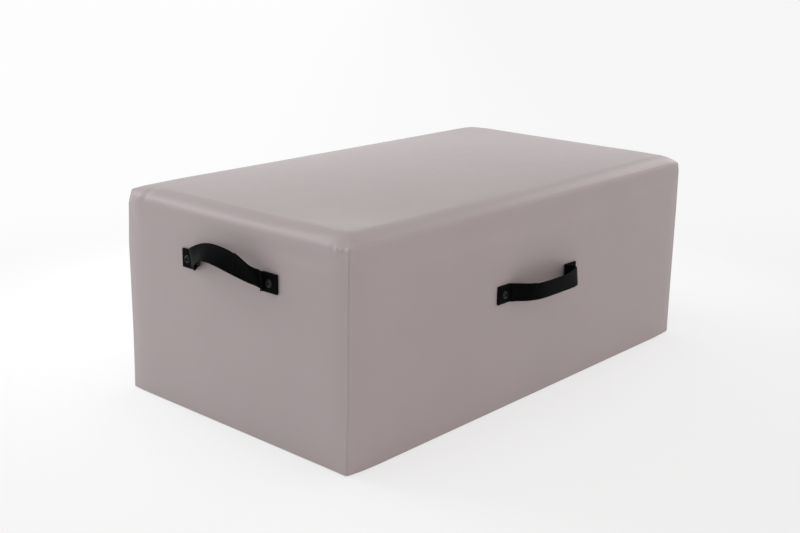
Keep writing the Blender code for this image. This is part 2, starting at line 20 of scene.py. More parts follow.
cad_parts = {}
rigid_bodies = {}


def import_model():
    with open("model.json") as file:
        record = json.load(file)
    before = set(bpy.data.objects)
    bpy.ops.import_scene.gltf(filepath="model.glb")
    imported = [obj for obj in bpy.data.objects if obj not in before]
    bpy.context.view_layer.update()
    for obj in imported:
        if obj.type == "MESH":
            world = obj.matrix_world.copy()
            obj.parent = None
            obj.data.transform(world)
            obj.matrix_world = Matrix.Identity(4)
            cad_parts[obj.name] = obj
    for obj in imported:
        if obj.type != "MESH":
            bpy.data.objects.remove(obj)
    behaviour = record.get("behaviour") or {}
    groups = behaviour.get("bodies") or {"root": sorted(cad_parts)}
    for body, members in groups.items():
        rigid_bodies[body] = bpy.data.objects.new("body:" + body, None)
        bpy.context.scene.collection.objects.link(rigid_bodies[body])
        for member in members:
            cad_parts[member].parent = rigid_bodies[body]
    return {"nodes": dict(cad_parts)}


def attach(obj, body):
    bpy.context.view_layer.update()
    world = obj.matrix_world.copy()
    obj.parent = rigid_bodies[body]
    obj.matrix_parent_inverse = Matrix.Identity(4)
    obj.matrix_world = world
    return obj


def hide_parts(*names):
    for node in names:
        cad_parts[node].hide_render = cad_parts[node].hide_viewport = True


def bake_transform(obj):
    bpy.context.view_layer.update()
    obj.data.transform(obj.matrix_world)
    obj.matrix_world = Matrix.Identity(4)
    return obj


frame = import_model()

LOG = logging.getLogger("sitting_box")
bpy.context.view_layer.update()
MM = 0.001

Pair = tuple[float, float]
Triple = tuple[float, float, float]


class Body(Enum):
    """The bodies that pieces ride on."""

    BOX = "box"
    LEFT_GRIP = "left_end_grip"
    RIGHT_GRIP = "right_end_grip"
    FRONT_GRIP = "front_grip"


class Axis(Enum):
    """A direction of the row frame, by its index."""

    X = 0
    Y = 1
    Z = 2


# Modelling helpers


def clear_selection() -> None:
    """Deselects every object, so that an operator acts on the new piece alone."""
    for item in bpy.context.view_layer.objects.selected[:]:
        item.select_set(False)
    bpy.context.view_layer.objects.active = None


def activate(item: bpy.types.Object) -> None:
    """Makes one object the only selected and the active one.

    Args:
        item: The object to work on.
    """
    clear_selection()
    bpy.context.view_layer.objects.active = item
    item.select_set(True)


def named(name: str) -> bpy.types.Object:
    """Names the object that an operator has just added, and its mesh.

    Args:
        name: The piece's name.

    Returns:
        The active object.
    """
    item = bpy.context.object
    item.name = name
    item.data.name = name
    return item


def settle(item: bpy.types.Object) -> None:
    """Moves an object's place, turn and scale into its mesh.

    Args:
        item: The finished piece.
    """
    activate(item)
    bpy.ops.object.transform_apply(location=True, rotation=True, scale=True)


@contextmanager
def editing(item: bpy.types.Object, mode: str = "VERT") -> Iterator[None]:
    """Opens a piece in edit mode with nothing selected.

    Args:
        item: The piece to edit.
        mode: What is selected in it: VERT, EDGE or FACE.

    Yields:
        Nothing; the block runs in edit mode.
    """
    activate(item)
    bpy.ops.object.mode_set(mode="EDIT")
    bpy.ops.mesh.select_mode(type=mode)
    bpy.ops.mesh.select_all(action="DESELECT")
    yield
    bpy.ops.object.mode_set(mode="OBJECT")


def pick_edges(item: bpy.types.Object, test: Callable[[bmesh.types.BMEdge], bool]) -> None:
    """Selects the edges of a piece in edit mode that pass a test.

    Args:
        item: The piece in edit mode.
        test: Says of an edge whether it is wanted.
    """
    shape = bmesh.from_edit_mesh(item.data)
    for edge in shape.edges:
        edge.select_set(bool(test(edge)))
    shape.select_flush_mode()
    bmesh.update_edit_mesh(item.data)


def pick_faces(item: bpy.types.Object, test: Callable[[bmesh.types.BMFace], bool]) -> None:
    """Selects the faces of a piece in edit mode that pass a test.

    Args:
        item: The piece in edit mode.
        test: Says of a face whether it is wanted.
    """
    shape = bmesh.from_edit_mesh(item.data)
    shape.normal_update()
    for face in shape.faces:
        face.select_set(bool(test(face)))
    bmesh.update_edit_mesh(item.data)


def runs_along(axis: Axis) -> Callable[[bmesh.types.BMEdge], bool]:
    """A test for edges that run along one axis.

    Args:
        axis: The direction.

    Returns:
        The test.
    """
    def test(edge: bmesh.types.BMEdge) -> bool:
        """Whether an edge runs along the axis."""
        run = edge.verts[1].co - edge.verts[0].co
        return abs(run[axis.value]) > 0.999 * run.length
    return test


def read_points(item: bpy.types.Object) -> np.ndarray:
    """The vertices of a piece as an array of points.

    Args:
        item: The piece.

    Returns:
        The points, in rows.
    """
    points = np.zeros(len(item.data.vertices) * 3)
    item.data.vertices.foreach_get("co", points)
    return points.reshape(-1, 3)


def write_points(item: bpy.types.Object, points: np.ndarray) -> None:
    """Moves the vertices of a piece to new points."""
    item.data.vertices.foreach_set("co", points.astype(np.float32).ravel())
    item.data.update()


def read_normals(item: bpy.types.Object) -> np.ndarray:
    """The vertex normals of a piece as an array.

    Args:
        item: The piece.

    Returns:
        The normals, in rows.
    """
    normals = np.zeros(len(item.data.vertices) * 3)
    item.data.vertex_normals.foreach_get("vector", normals)
    return normals.reshape(-1, 3)


def ramp(values: np.ndarray, start: float, length: float) -> np.ndarray:
    """Rises from 0 to 1 over a length of the values, from where it starts."""
    return np.clip((values - start) / length, 0, 1)


def apply_modifiers(item: bpy.types.Object) -> None:
    """Applies a piece's modifiers in their order.

    Args:
        item: The piece.
    """
    activate(item)
    for modifier in list(item.modifiers):
        bpy.ops.object.modifier_apply(modifier=modifier.name)


def thicken(item: bpy.types.Object, thickness: float, offset: float) -> None:
    """Gives a sheet its thickness.

    Args:
        item: The sheet.
        thickness: How thick it gets.
        offset: -1 behind its faces, 0 on both sides and 1 in front of them.
    """
    wall = item.modifiers.new("wall", "SOLIDIFY")
    wall.thickness = thickness
    wall.offset = offset
    apply_modifiers(item)


def outward(item: bpy.types.Object) -> None:
    """Turns the faces of a closed piece outwards.

    Args:
        item: The piece.
    """
    with editing(item, "FACE"):
        bpy.ops.mesh.select_all(action="SELECT")
        bpy.ops.mesh.normals_make_consistent(inside=False)


def smooth(item: bpy.types.Object, angle: float = 40.0) -> None:
    """Shades a piece smooth, with edges sharper than an angle in degrees kept."""
    activate(item)
    bpy.ops.object.shade_smooth_by_angle(angle=math.radians(angle))


def dress(item: bpy.types.Object, *materials: bpy.types.Material) -> None:
    """Gives a piece its materials in the order of its slots.

    Args:
        item: The piece.
        *materials: The materials.
    """
    item.data.materials.clear()
    for material in materials:
        item.data.materials.append(material)


def join(name: str, items: list[bpy.types.Object]) -> bpy.types.Object:
    """Joins pieces into the first of them.

    Args:
        name: The joined piece's name.
        items: The pieces.

    Returns:
        The joined piece.
    """
    activate(items[0])
    for item in items:
        item.select_set(True)
    bpy.ops.object.join()
    return named(name)


def copy_of(item: bpy.types.Object, name: str, place: Matrix) -> bpy.types.Object:
    """A copy of a piece with its own mesh, put in its place.

    Args:
        item: The piece to copy.
        name: The copy's name.
        place: Where the copy goes.

    Returns:
        The copy, its place in its mesh.
    """
    made = item.copy()
    made.data = item.data.copy()
    made.name = name
    made.data.name = name
    made.data.transform(place)
    bpy.context.scene.collection.objects.link(made)
    return made


# Finishes


class Nodes:
    """A node tree, with short calls to add and join its nodes."""

    def __init__(self, owner: bpy.types.Material | bpy.types.World) -> None:
        """Takes the node tree of a material or a world."""
        owner.use_nodes = True
        self.tree = owner.node_tree

    def node(self, kind: str, **settings: object) -> bpy.types.Node:
        """Adds a node.

        Args:
            kind: The node's type.
            **settings: Its properties, or values of its inputs by their names with underscores.

        Returns:
            The node.
        """
        made = self.tree.nodes.new(kind)
        for key, value in settings.items():
            socket = made.inputs.get(key.replace("_", " "))
            if socket is not None and not hasattr(made, key):
                socket.default_value = value
            else:
                setattr(made, key, value)
        return made

    def join(self, source: bpy.types.NodeSocket, target: bpy.types.NodeSocket) -> None:
        """Links an output to an input."""
        self.tree.links.new(source, target)

    def feed(self, target: bpy.types.NodeSocket, given: object) -> None:
        """Gives an input what it takes.

        Args:
            target: The input.
            given: A socket, a number, the three numbers of a colour, or None to leave it.
        """
        if isinstance(given, bpy.types.NodeSocket):
            self.join(given, target)
        elif isinstance(given, tuple):
            target.default_value = (*given, 1.0)
        elif given is not None:
            target.default_value = given

    def pattern(self, kind: str, vector: bpy.types.NodeSocket, **settings: object) -> bpy.types.Node:
        """Adds a node that reads a vector.

        Args:
            kind: The node's type.
            vector: The vector socket.
            **settings: As for a node.

        Returns:
            The node.
        """
        made = self.node(kind, **settings)
        self.join(vector, made.inputs["Vector"])
        return made

    def axes(self, vector: bpy.types.NodeSocket) -> bpy.types.bpy_prop_collection:
        """The three parts of a vector, as outputs."""
        return self.pattern("ShaderNodeSeparateXYZ", vector).outputs

    def noise(self, vector: bpy.types.NodeSocket, scale: float, detail: float = 3.0,
              roughness: float = 0.55) -> bpy.types.NodeSocket:
        """Fractal noise over a vector.

        Args:
            vector: The vector socket.
            scale: How many cells it has to the metre.
            detail: How many finer layers it has.
            roughness: How strong the finer layers are.

        Returns:
            The noise, from 0 to 1.
        """
        return self.pattern("ShaderNodeTexNoise", vector, Scale=scale, Detail=detail,
                            Roughness=roughness).outputs["Fac"]

    def span(self, value: bpy.types.NodeSocket, low: float, high: float, start: float = 0.0,
             end: float = 1.0, kind: str = "LINEAR") -> bpy.types.NodeSocket:
        """Maps a value from one span to another, and stops at its ends.

        Args:
            value: The value.
            low: What the start becomes.
            high: What the end becomes.
            start: The start of the value's span.
            end: The end of the value's span.
            kind: How it runs between them.

        Returns:
            The mapped value.
        """
        made = self.node("ShaderNodeMapRange", interpolation_type=kind, From_Min=start, From_Max=end,
                         To_Min=low, To_Max=high)
        self.join(value, made.inputs["Value"])
        return made.outputs["Result"]

    def math(self, operation: str, first: object, second: object = 0.0) -> bpy.types.NodeSocket:
        """A sum on one or two numbers.

        Args:
            operation: The sum.
            first: A socket or a number.
            second: A socket or a number.

        Returns:
            The result.
        """
        made = self.node("ShaderNodeMath", operation=operation)
        for socket, given in zip(made.inputs, (first, second)):
            self.feed(socket, given)
        return made.outputs["Value"]

    def mix(self, share: object, first: object, second: object,
            blend: str = "MIX") -> bpy.types.NodeSocket:
        """Mixes two colours, each a socket or three numbers.

        Args:
            share: How much of the second shows, a socket or a number.
            first: The first colour.
            second: The second colour.
            blend: How the second is laid over the first.

        Returns:
            The colour.
        """
        made = self.node("ShaderNodeMix", data_type="RGBA", blend_type=blend)
        for number, given in ((0, share), (6, first), (7, second)):
            self.feed(made.inputs[number], given)
        return made.outputs[2]


class Shader(Nodes):
    """A material's nodes round one Principled shader."""

    def __init__(self, name: str) -> None:
        """Starts a material under a name.

        Args:
            name: The material's name.
        """
        self.material = bpy.data.materials.new(name)
        super().__init__(self.material)
        self.surface = self.tree.nodes["Principled BSDF"]

    def coordinates(self, scale: Triple = (1, 1, 1), source: str = "Object") -> bpy.types.NodeSocket:
        """The piece's own coordinates, scaled.

        Args:
            scale: The scale of each axis.
            source: Object or UV.

        Returns:
            The vector socket.
        """
        place = self.node("ShaderNodeTexCoord").outputs[source]
        return self.pattern("ShaderNodeMapping", place, Scale=scale).outputs["Vector"]

    def bump(self, height: bpy.types.NodeSocket, strength: float, distance: float,
             under: bpy.types.NodeSocket | None = None) -> bpy.types.NodeSocket:
        """A bump from a height, laid over another one.

        Args:
            height: The height, from 0 to 1.
            strength: How much of it shows.
            distance: The height in metres.
            under: The normal of a bump below this one.

        Returns:
            The normal socket.
        """
        made = self.node("ShaderNodeBump", Strength=strength, Distance=distance)
        self.join(height, made.inputs["Height"])
        self.feed(made.inputs["Normal"], under)
        return made.outputs["Normal"]

    def layer(self, share: bpy.types.NodeSocket, first: bpy.types.NodeSocket,
              second: bpy.types.NodeSocket) -> bpy.types.NodeSocket:
        """Mixes two shaders.

        Args:
            share: How much of the second shows.
            first: The first shader.
            second: The second shader.

        Returns:
            The shader.
        """
        made = self.node("ShaderNodeMixShader")
        for socket, given in zip(made.inputs, (share, first, second)):
            self.join(given, socket)
        return made.outputs[0]

    def finish(self, colour: object, roughness: object, normal: bpy.types.NodeSocket | None,
               **sockets: float) -> bpy.types.Material:
        """Connects the shader's inputs.

        Args:
            colour: The base colour, a socket or three numbers.
            roughness: The roughness, a socket or a number.
            normal: The normal, if there is a bump.
            **sockets: Plain values of other inputs, by their names with underscores.

        Returns:
            The material.
        """
        for key, given in (("Base Color", colour), ("Roughness", roughness), ("Normal", normal)):
            self.feed(self.surface.inputs[key], given)
        for key, number in sockets.items():
            self.surface.inputs[key.replace("_", " ")].default_value = number
        return self.material


@dataclass(frozen=True)
class VinylFinish:
    """Soft upholstery vinyl with a fine pebble grain and a satin sheen."""

    colour: Triple = (0.305, 0.262, 0.266)
    shade: Triple = (0.288, 0.246, 0.250)
    seam_painted_shade: float = 0.45
    roughness: float = 0.43
    grain: float = 1150.0

    def material(self) -> bpy.types.Material:
        """The vinyl: cells of grain over a slow unevenness, with painted shade darkening the seams.

        Returns:
            The material.
        """
        shader = Shader("taupe_vinyl")
        vector = shader.coordinates()
        cloud = shader.noise(vector, scale=9.0, detail=2.0)
        colour = shader.mix(shader.span(cloud, 0.0, 0.45, start=0.35, end=0.7), self.colour, self.shade)
        # Painted shade: the seam attribute masks a darkening of the colour along the sewn corner seams.
        seam = shader.node("ShaderNodeAttribute", attribute_name="seam").outputs["Fac"]
        colour = shader.mix(shader.span(seam, 0.0, 0.22), colour,
                            tuple(self.seam_painted_shade * part for part in self.colour))
        cells = shader.pattern("ShaderNodeTexVoronoi", vector, feature="SMOOTH_F1", Scale=self.grain)
        fine = shader.noise(vector, scale=self.grain * 1.7, detail=2.0)
        height = shader.math("ADD", shader.math("MULTIPLY", cells.outputs["Distance"], 0.7),
                             shader.math("MULTIPLY", fine, 0.3))
        normal = shader.bump(shader.noise(vector, scale=14.0, detail=2.0), strength=0.10, distance=0.002)
        normal = shader.bump(height, strength=0.22, distance=0.00025, under=normal)
        rough = shader.span(shader.noise(vector, scale=55.0), self.roughness - 0.03, self.roughness + 0.04)
        return shader.finish(colour, rough, normal, Specular_IOR_Level=0.5)


@dataclass(frozen=True)
class WebbingFinish:
    """Flat nylon webbing: fine ribs across it, and warp lines along it."""

    colour: Triple = (0.0012, 0.0012, 0.0013)
    ridge_painted_light: Triple = (0.0038, 0.0038, 0.0041)
    pitch: float = 0.00125
    roughness: float = 0.52

    def material(self) -> bpy.types.Material:
        """The webbing, woven on its own UV map, whose units are metres.

        Returns:
            The material.
        """
        shader = Shader("black_webbing")
        vector = shader.coordinates(source="UV")
        place = shader.axes(vector)
        turn = 2 * math.pi / self.pitch
        along = shader.math("MULTIPLY", place["X"], turn)
        across = shader.math("MULTIPLY", place["Y"], turn * 0.9)
        rib = shader.math("SINE", shader.math("ADD", along, shader.math("MULTIPLY", across, 0.5)))
        warp = shader.math("ABSOLUTE", shader.math("SINE", across))
        weave = shader.math("MULTIPLY", shader.span(rib, 0.25, 1.0, start=-1.0, end=1.0), warp)
        fuzz = shader.noise(vector, scale=2600.0, detail=2.0)
        height = shader.math("ADD", shader.math("MULTIPLY", weave, 0.8), shader.math("MULTIPLY", fuzz, 0.2))
        # Painted light and shade: the weave's raised ridges are coloured lighter and its hollows darker.
        colour = shader.mix(height, self.colour, self.ridge_painted_light)
        rough = shader.span(fuzz, self.roughness - 0.07, self.roughness + 0.08)
        return shader.finish(colour, rough, shader.bump(height, strength=0.55, distance=0.00022),
                             Specular_IOR_Level=0.012, Sheen_Weight=0.03, Sheen_Roughness=0.35)


@dataclass(frozen=True)
class ThreadFinish:
    """Bonded polyester sewing thread."""

    colour: Triple = (0.004, 0.004, 0.0043)
    ply_tone: float = 1.9

    def material(self) -> bpy.types.Material:
        """The thread, with the lay of its plies.

        Returns:
            The material.
        """
        shader = Shader("black_thread")
        twist = shader.noise(shader.coordinates(), scale=3200.0, detail=2.0)
        colour = shader.mix(twist, self.colour, tuple(self.ply_tone * part for part in self.colour))
        normal = shader.bump(twist, strength=0.4, distance=0.0001)
        return shader.finish(colour, 0.5, normal, Specular_IOR_Level=0.15)


@dataclass(frozen=True)
class SteelFinish:
    """Coated steel: its coat's colour, and the colour where it is rubbed."""

    name: str
    colour: Triple
    rubbed: Triple
    roughness: float
    metallic: float
    gloss: float = 0.5

    def material(self) -> bpy.types.Material:
        """The steel, with a fine speckle and faint rubbing.

        Returns:
            The material.
        """
        shader = Shader(self.name)
        vector = shader.coordinates()
        grain = shader.noise(vector, scale=420.0, detail=4.0)
        colour = shader.mix(shader.span(grain, 0.0, 0.6, start=0.45, end=0.75), self.colour, self.rubbed)
        rough = shader.span(shader.noise(vector, scale=900.0), self.roughness - 0.06, self.roughness + 0.08)
        normal = shader.bump(grain, strength=0.15, distance=0.0001)
        return shader.finish(colour, rough, normal, Metallic=self.metallic, Specular_IOR_Level=self.gloss)


@dataclass(frozen=True)
class PlywoodFinish:
    """Birch plywood: plies through its thickness and long grain on its faces."""

    through: Axis
    along: Axis
    pale: Triple = (0.66, 0.50, 0.32)
    dark: Triple = (0.44, 0.30, 0.17)
    ply: float = 0.0013
    fibre: Pair = (34.0, 2.4)

    def material(self) -> bpy.types.Material:
        """The plywood. Its ply lines show only where an edge cuts through them.

        Returns:
            The material.
        """
        shader = Shader(f"birch_plywood_{self.through.name}_{self.along.name}".lower())
        vector = shader.coordinates(tuple(self.fibre[axis is self.along] for axis in Axis))
        grain = shader.noise(vector, scale=2.2, detail=5.0, roughness=0.65)
        fine = shader.noise(vector, scale=16.0, detail=3.0, roughness=0.6)
        face = shader.mix(shader.span(grain, 0.0, 0.75, start=0.3, end=0.75), self.pale, self.dark)
        face = shader.mix(shader.span(fine, 0.0, 0.3, start=0.4, end=0.8), face, self.dark)
        depth = shader.axes(shader.coordinates())[self.through.value]
        layer = shader.math("MULTIPLY", depth, math.pi / self.ply)
        stripe = shader.math("GREATER_THAN", shader.math("SINE", layer), 0.0)
        colour = shader.mix(shader.math("MULTIPLY", stripe, 0.42), face, self.dark)
        normal = shader.bump(fine, strength=0.3, distance=0.0003)
        return shader.finish(colour, shader.span(fine, 0.62, 0.8), normal)


@dataclass(frozen=True)
class PineFinish:
    """Planed pine batten with its grain along one axis."""

    along: Axis
    pale: Triple = (0.74, 0.57, 0.35)
    dark: Triple = (0.50, 0.31, 0.15)
    fibre: Pair = (1.0, 0.06)

    def material(self) -> bpy.types.Material:
        """The pine, with year rings stretched along the batten.

        Returns:
            The material.
        """
        shader = Shader(f"pine_batten_{self.along.name}".lower())
        vector = shader.coordinates(tuple(self.fibre[axis is self.along] for axis in Axis))
        rings = shader.pattern("ShaderNodeTexWave", vector, wave_type="RINGS", Scale=70.0,
                               Distortion=6.0, Detail=3.0)
        colour = shader.mix(shader.span(rings.outputs["Fac"], 0.0, 0.6), self.pale, self.dark)
        fine = shader.noise(vector, scale=900.0)
        normal = shader.bump(fine, strength=0.3, distance=0.0003)
        return shader.finish(colour, shader.span(fine, 0.6, 0.8), normal)


@dataclass(frozen=True)
class FoamFinish:
    """Open cell foam, cream, with its pores and a faint yellowing."""

    colour: Triple = (0.80, 0.73, 0.56)
    pore_painted_shade: Triple = (0.50, 0.43, 0.29)
    yellowed: Triple = (0.78, 0.66, 0.42)

    def material(self) -> bpy.types.Material:
        """The foam, pitted by two sizes of pore, with painted shade in the pits.

        Returns:
            The material.
        """
        shader = Shader("cream_foam")
        vector = shader.coordinates()
        pores = shader.pattern("ShaderNodeTexVoronoi", vector, Scale=620.0)
        fine = shader.noise(vector, scale=1500.0)
        height = shader.math("MULTIPLY", pores.outputs["Distance"], fine)
        # Painted shade: the colour darkens where the pores sink in.
        colour = shader.mix(shader.span(height, 0.0, 0.8, start=0.1, end=0.35), self.pore_painted_shade, self.colour)
        slow = shader.noise(vector, scale=20.0)
        colour = shader.mix(shader.span(slow, 0.0, 0.25), colour, self.yellowed)
        return shader.finish(colour, 0.95, shader.bump(height, strength=0.8, distance=0.0008))


@dataclass(frozen=True)
class NonSlipFinish:
    """Black sheet with small raised dots in staggered rows."""

    colour: Triple = (0.018, 0.018, 0.019)
    dot: Triple = (0.035, 0.035, 0.036)
    pitch: float = 0.0045

    def material(self) -> bpy.types.Material:
        """The sheet, with the dots on its underside and a woven ground between them.

        Returns:
            The material.
        """
        shader = Shader("black_non_slip_sheet")
        vector = shader.coordinates()
        place = shader.axes(vector)
        turn = 2 * math.pi / self.pitch
        across, along = (shader.math("SINE", shader.math("MULTIPLY", place[axis], turn)) for axis in "XY")
        dots = shader.span(shader.math("MULTIPLY", across, along), 0.0, 1.0, start=0.25, end=0.7)
        ground = shader.noise(vector, scale=1400.0, detail=2.0)
        height = shader.math("ADD", dots, shader.math("MULTIPLY", ground, 0.12))
        colour = shader.mix(dots, self.colour, self.dot)
        normal = shader.bump(height, strength=0.6, distance=0.0006)
        return shader.finish(colour, shader.span(ground, 0.75, 0.95), normal)


@dataclass(frozen=True)
class FloorFinish:
    """Pale studio floor, which keeps the object's shadow and is near white to the camera."""

    near_painted_falloff: Pair = (0.900, 0.850)
    far_painted_falloff: Pair = (0.985, 0.925)
    across: Pair = (-0.9, 0.9)
    away: Pair = (-0.6, 1.2)
    shadow_reach: Pair = (0.45, 0.95)
    lit: float = 0.30
    ground: float = 0.86

    def material(self, right: Vector, ahead: Vector) -> bpy.types.Material:
        """The floor, with a painted light falloff: lighter to the left and further away.

        Args:
            right: The direction to the right along the floor.
            ahead: The direction away along the floor.

        Returns:
            The material.
        """
        shader = Shader("studio_floor")
        shader.tree.nodes.remove(shader.surface)
        vector = shader.coordinates()
        shares = []
        for operation, direction, reach in (("DOT_PRODUCT", right, self.across),
                                            ("DOT_PRODUCT", ahead, self.away),
                                            ("DISTANCE", (0, 0, 0), self.shadow_reach)):
            place = shader.pattern("ShaderNodeVectorMath", vector, operation=operation)
            place.inputs[1].default_value = direction
            shares.append(shader.span(place.outputs["Value"], 0.0, 1.0, *reach, "SMOOTHSTEP"))
        # Painted light falloff: the floor's colour is lighter to the left and further from the camera.
        near, far = (shader.mix(shares[0], (left,) * 3, (right_tone,) * 3)
                     for left, right_tone in (self.near_painted_falloff, self.far_painted_falloff))
        tone = shader.mix(shares[1], near, far)
        glow = shader.node("ShaderNodeEmission", Strength=1.0)
        lit = shader.node("ShaderNodeBsdfDiffuse")
        for face in (glow, lit):
            shader.join(tone, face.inputs["Color"])
        seen = shader.layer(shader.span(shares[2], self.lit, 0.0), glow.outputs[0], lit.outputs[0])
        ground = shader.node("ShaderNodeBsdfDiffuse", Color=(self.ground, self.ground, self.ground, 1.0))
        path = shader.node("ShaderNodeLightPath").outputs
        eye = shader.math("MAXIMUM", path["Is Camera Ray"], path["Is Glossy Ray"])
        whole = shader.layer(eye, ground.outputs[0], seen)
        shader.join(whole, shader.tree.nodes["Material Output"].inputs["Surface"])
        return shader.material


# Vinyl cover


@dataclass(frozen=True)
class CornerForm:
    """How far an upright corner is drawn in along X and Y, at four heights, and how it ends.

    Its edge radius is the plan's radius at the crown's edge, and its droop is how far the cushion
    hangs lower beside it, over its reach along X and Y.
    """

    foot: Pair = (0.0014, 0.0014)
    wall: Pair = (0.0018, 0.0018)
    top: Pair = (0.0028, 0.0028)
    tip: Pair = (0.0045, 0.0045)
    tip_height: float = 0.2710
    edge_radius: float = 0.045
    droop: float = -0.0004
    reach: Pair = (0.060, 0.060)
    foot_end: float = 0.08
    opening: float = 0.055

    def drawn(self, height: float, wall_top: float) -> Pair:
        """How far the corner is drawn in at a height of the wall or of the seam's end.

        Args:
            height: The height.
            wall_top: The height of the wall's top.

        Returns:
            How far it is drawn in along X and Y.
        """
        heights = (0.0, self.foot_end, wall_top - self.opening, wall_top, self.tip_height)
        forms = (self.foot, self.wall, self.wall, self.top, self.tip)
        return tuple(float(np.interp(height, heights, [form[axis] for form in forms])) for axis in (0, 1))


Ring = tuple[float, float, float, Pair]


@dataclass
class Skin:
    """The form of the cushioned box, as rings from its foot to the edge of its crown.

    A place on the skin is given by a level up the meridian and by the run along the ring from
    the nearest upright corner.
    """

    length: float = 0.724
    width: float = 0.411
    height: float = 0.292
    foot: float = 0.0003
    foot_radius: float = 0.0020
    corner: float = 0.0034
    tip_width: float = 0.0095
    crown_inset: float = 0.02415
    turns: tuple[Pair, ...] = ((0, 0), (10, 9), (15, 36), (20, 52), (25, 63), (33, 75), (41, 83))
    roll_steps: int = 82
    crown: float = 0.010
    crown_power: float = 2.2
    end_sag: float = 0.0026
    edge_opening: float = 2.2
    droop_ramp: Pair = (0.0165, 0.0065)
    sag_ramp: Pair = (-0.020, 0.026)
    sag_fade: Pair = (0.004, 0.016)
    sag_depth: Pair = (-0.060, 0.050)
    corners: dict[tuple[bool, bool], CornerForm] = field(default_factory=lambda: {
        (False, False): CornerForm((-0.0003, 0.0021), (0.0019, 0.0019), (0.0030, 0.0022), (0.0042, 0.0026),
                                   0.2690, 0.045, -0.0040, (0.055, 0.085)),
        (False, True): CornerForm((0.0012, 0.0012), (0.0019, 0.0019), (0.0036, 0.0036), (0.0068, 0.0068),
                                  0.2758, 0.042, 0.0014),
        (True, False): CornerForm((0.0010, 0.0010), (0.0010, 0.0010), (0.0015, 0.0015), (0.0028, 0.0028),
                                  0.2695),
        (True, True): CornerForm()})

    def __post_init__(self) -> None:
        """Rolls the rounded edge from the wall to the crown and works out where it starts."""
        places, angles = zip(*self.turns)
        inset, rise, line = 0.0, 0.0, [(0.0, 0.0)]
        for step in range(self.roll_steps):
            place = (step + 0.5) / self.roll_steps * places[-1]
            angle = math.radians(float(np.interp(place, places, angles)))
            inset += math.sin(angle)
            rise += math.cos(angle)
            line.append((inset, rise))
        scale = self.crown_inset / inset
        self.roll = [(inset * scale, rise * scale) for inset, rise in line]
        self.crown_foot = self.height - self.crown
        self.wall_top = self.crown_foot - self.roll[-1][1]

    def meridian(self, level: float, form: CornerForm) -> Ring:
        """A level of the skin.

        Args:
            level: 0 to 1 over the foot's rounding, 1 to 2 up the wall, 2 to 3 over the edge.
            form: The form of the nearest corner.

        Returns:
            The inset, the height, the corner radius and how far the corners are drawn in.
        """
        if level < 1:
            angle = math.pi / 2 * (1 - level)
            inset = self.foot_radius * (1 - math.cos(angle))
            height = self.foot + self.foot_radius * (1 - math.sin(angle))
            return inset, height, self.corner, form.foot
        if level < 2:
            bottom = self.foot + self.foot_radius
            height = bottom + (self.wall_top - bottom) * (level - 1)
            return 0.0, height, self.corner, form.drawn(height, self.wall_top)
        place = (level - 2) * self.roll_steps
        step = min(int(place), self.roll_steps - 1)
        part = place - step
        inset = self.roll[step][0] * (1 - part) + self.roll[step + 1][0] * part
        height = self.wall_top + self.roll[step][1] * (1 - part) + self.roll[step + 1][1] * part
        share = inset / self.crown_inset
        radius = self.corner + (form.edge_radius - self.corner) * share ** self.edge_opening
        return inset, height, radius, tuple(part * (1 - share) for part in form.top)

    def mitre(self, level: float, seam_share: float, form: CornerForm) -> Ring:
        """A level of the skin at a corner, where the seam ends in a point and a crease goes on.

        Args:
            level: 2 to 3 over the edge.
            seam_share: The share of the levels that the seam takes.
            form: The corner's form.

        Returns:
            The inset, the height, the corner radius and how far the corners are drawn in.
        """
        share = level - 2
        if share <= seam_share:
            height = self.wall_top + (form.tip_height - self.wall_top) * share / seam_share
            return 0.0, height, self.corner, form.drawn(height, self.wall_top)
        share = (share - seam_share) / (1 - seam_share)
        rise = math.sin(share * math.pi / 2) ** 0.9
        height = form.tip_height + (self.crown_foot - form.tip_height) * rise
        radius = self.corner + (form.edge_radius - self.corner) * share ** 3
        return self.crown_inset * share, height, radius, tuple(part * (1 - share) for part in form.tip)

    def sag(self, points: np.ndarray) -> np.ndarray:
        """How far each point above the walls hangs lower near a corner and along an end.

        Args:
            points: The points, in rows.

        Returns:
            The fall of each.
        """
        fall = np.zeros(len(points))
        for (right, back), form in self.corners.items():
            away_x = self.length / 2 - points[:, 0] * (1 if right else -1)
            away_y = self.width / 2 - points[:, 1] * (1 if back else -1)
            fall += form.droop * np.exp(-(away_x / form.reach[0]) ** 2 - (away_y / form.reach[1]) ** 2)
        return fall * ramp(points[:, 2] - self.wall_top, *self.droop_ramp) + self.end_fall(points)

    def end_fall(self, points: np.ndarray) -> np.ndarray:
        """How far each point hangs lower at the top edge of an end, most in its middle.

        Args:
            points: The points, in rows.

        Returns:
            The fall of each.
        """
        over, fade = self.sag_fade
        high = ramp(points[:, 2] - self.wall_top, *self.sag_ramp)
        high *= ramp(self.crown_foot + over - points[:, 2], 0.0, fade)
        beside = ramp(np.abs(points[:, 0]) - self.length / 2, *self.sag_depth)
        middle = np.clip(1 - (points[:, 1] / (self.width / 2)) ** 2, 0, 1)
        return self.end_sag * high * beside * middle

    def crown_rise(self, x: np.ndarray, y: np.ndarray) -> np.ndarray:
        """The crown's height over its edge line.

        Args:
            x: Places along the box.
            y: Places across it.

        Returns:
            The height at each.
        """
        across = np.clip(np.abs(x) / (self.length / 2 - self.crown_inset), 0, 1)
        along = np.clip(np.abs(y) / (self.width / 2 - self.crown_inset), 0, 1)
        return self.crown * (1 - across ** self.crown_power) * (1 - along ** self.crown_power)


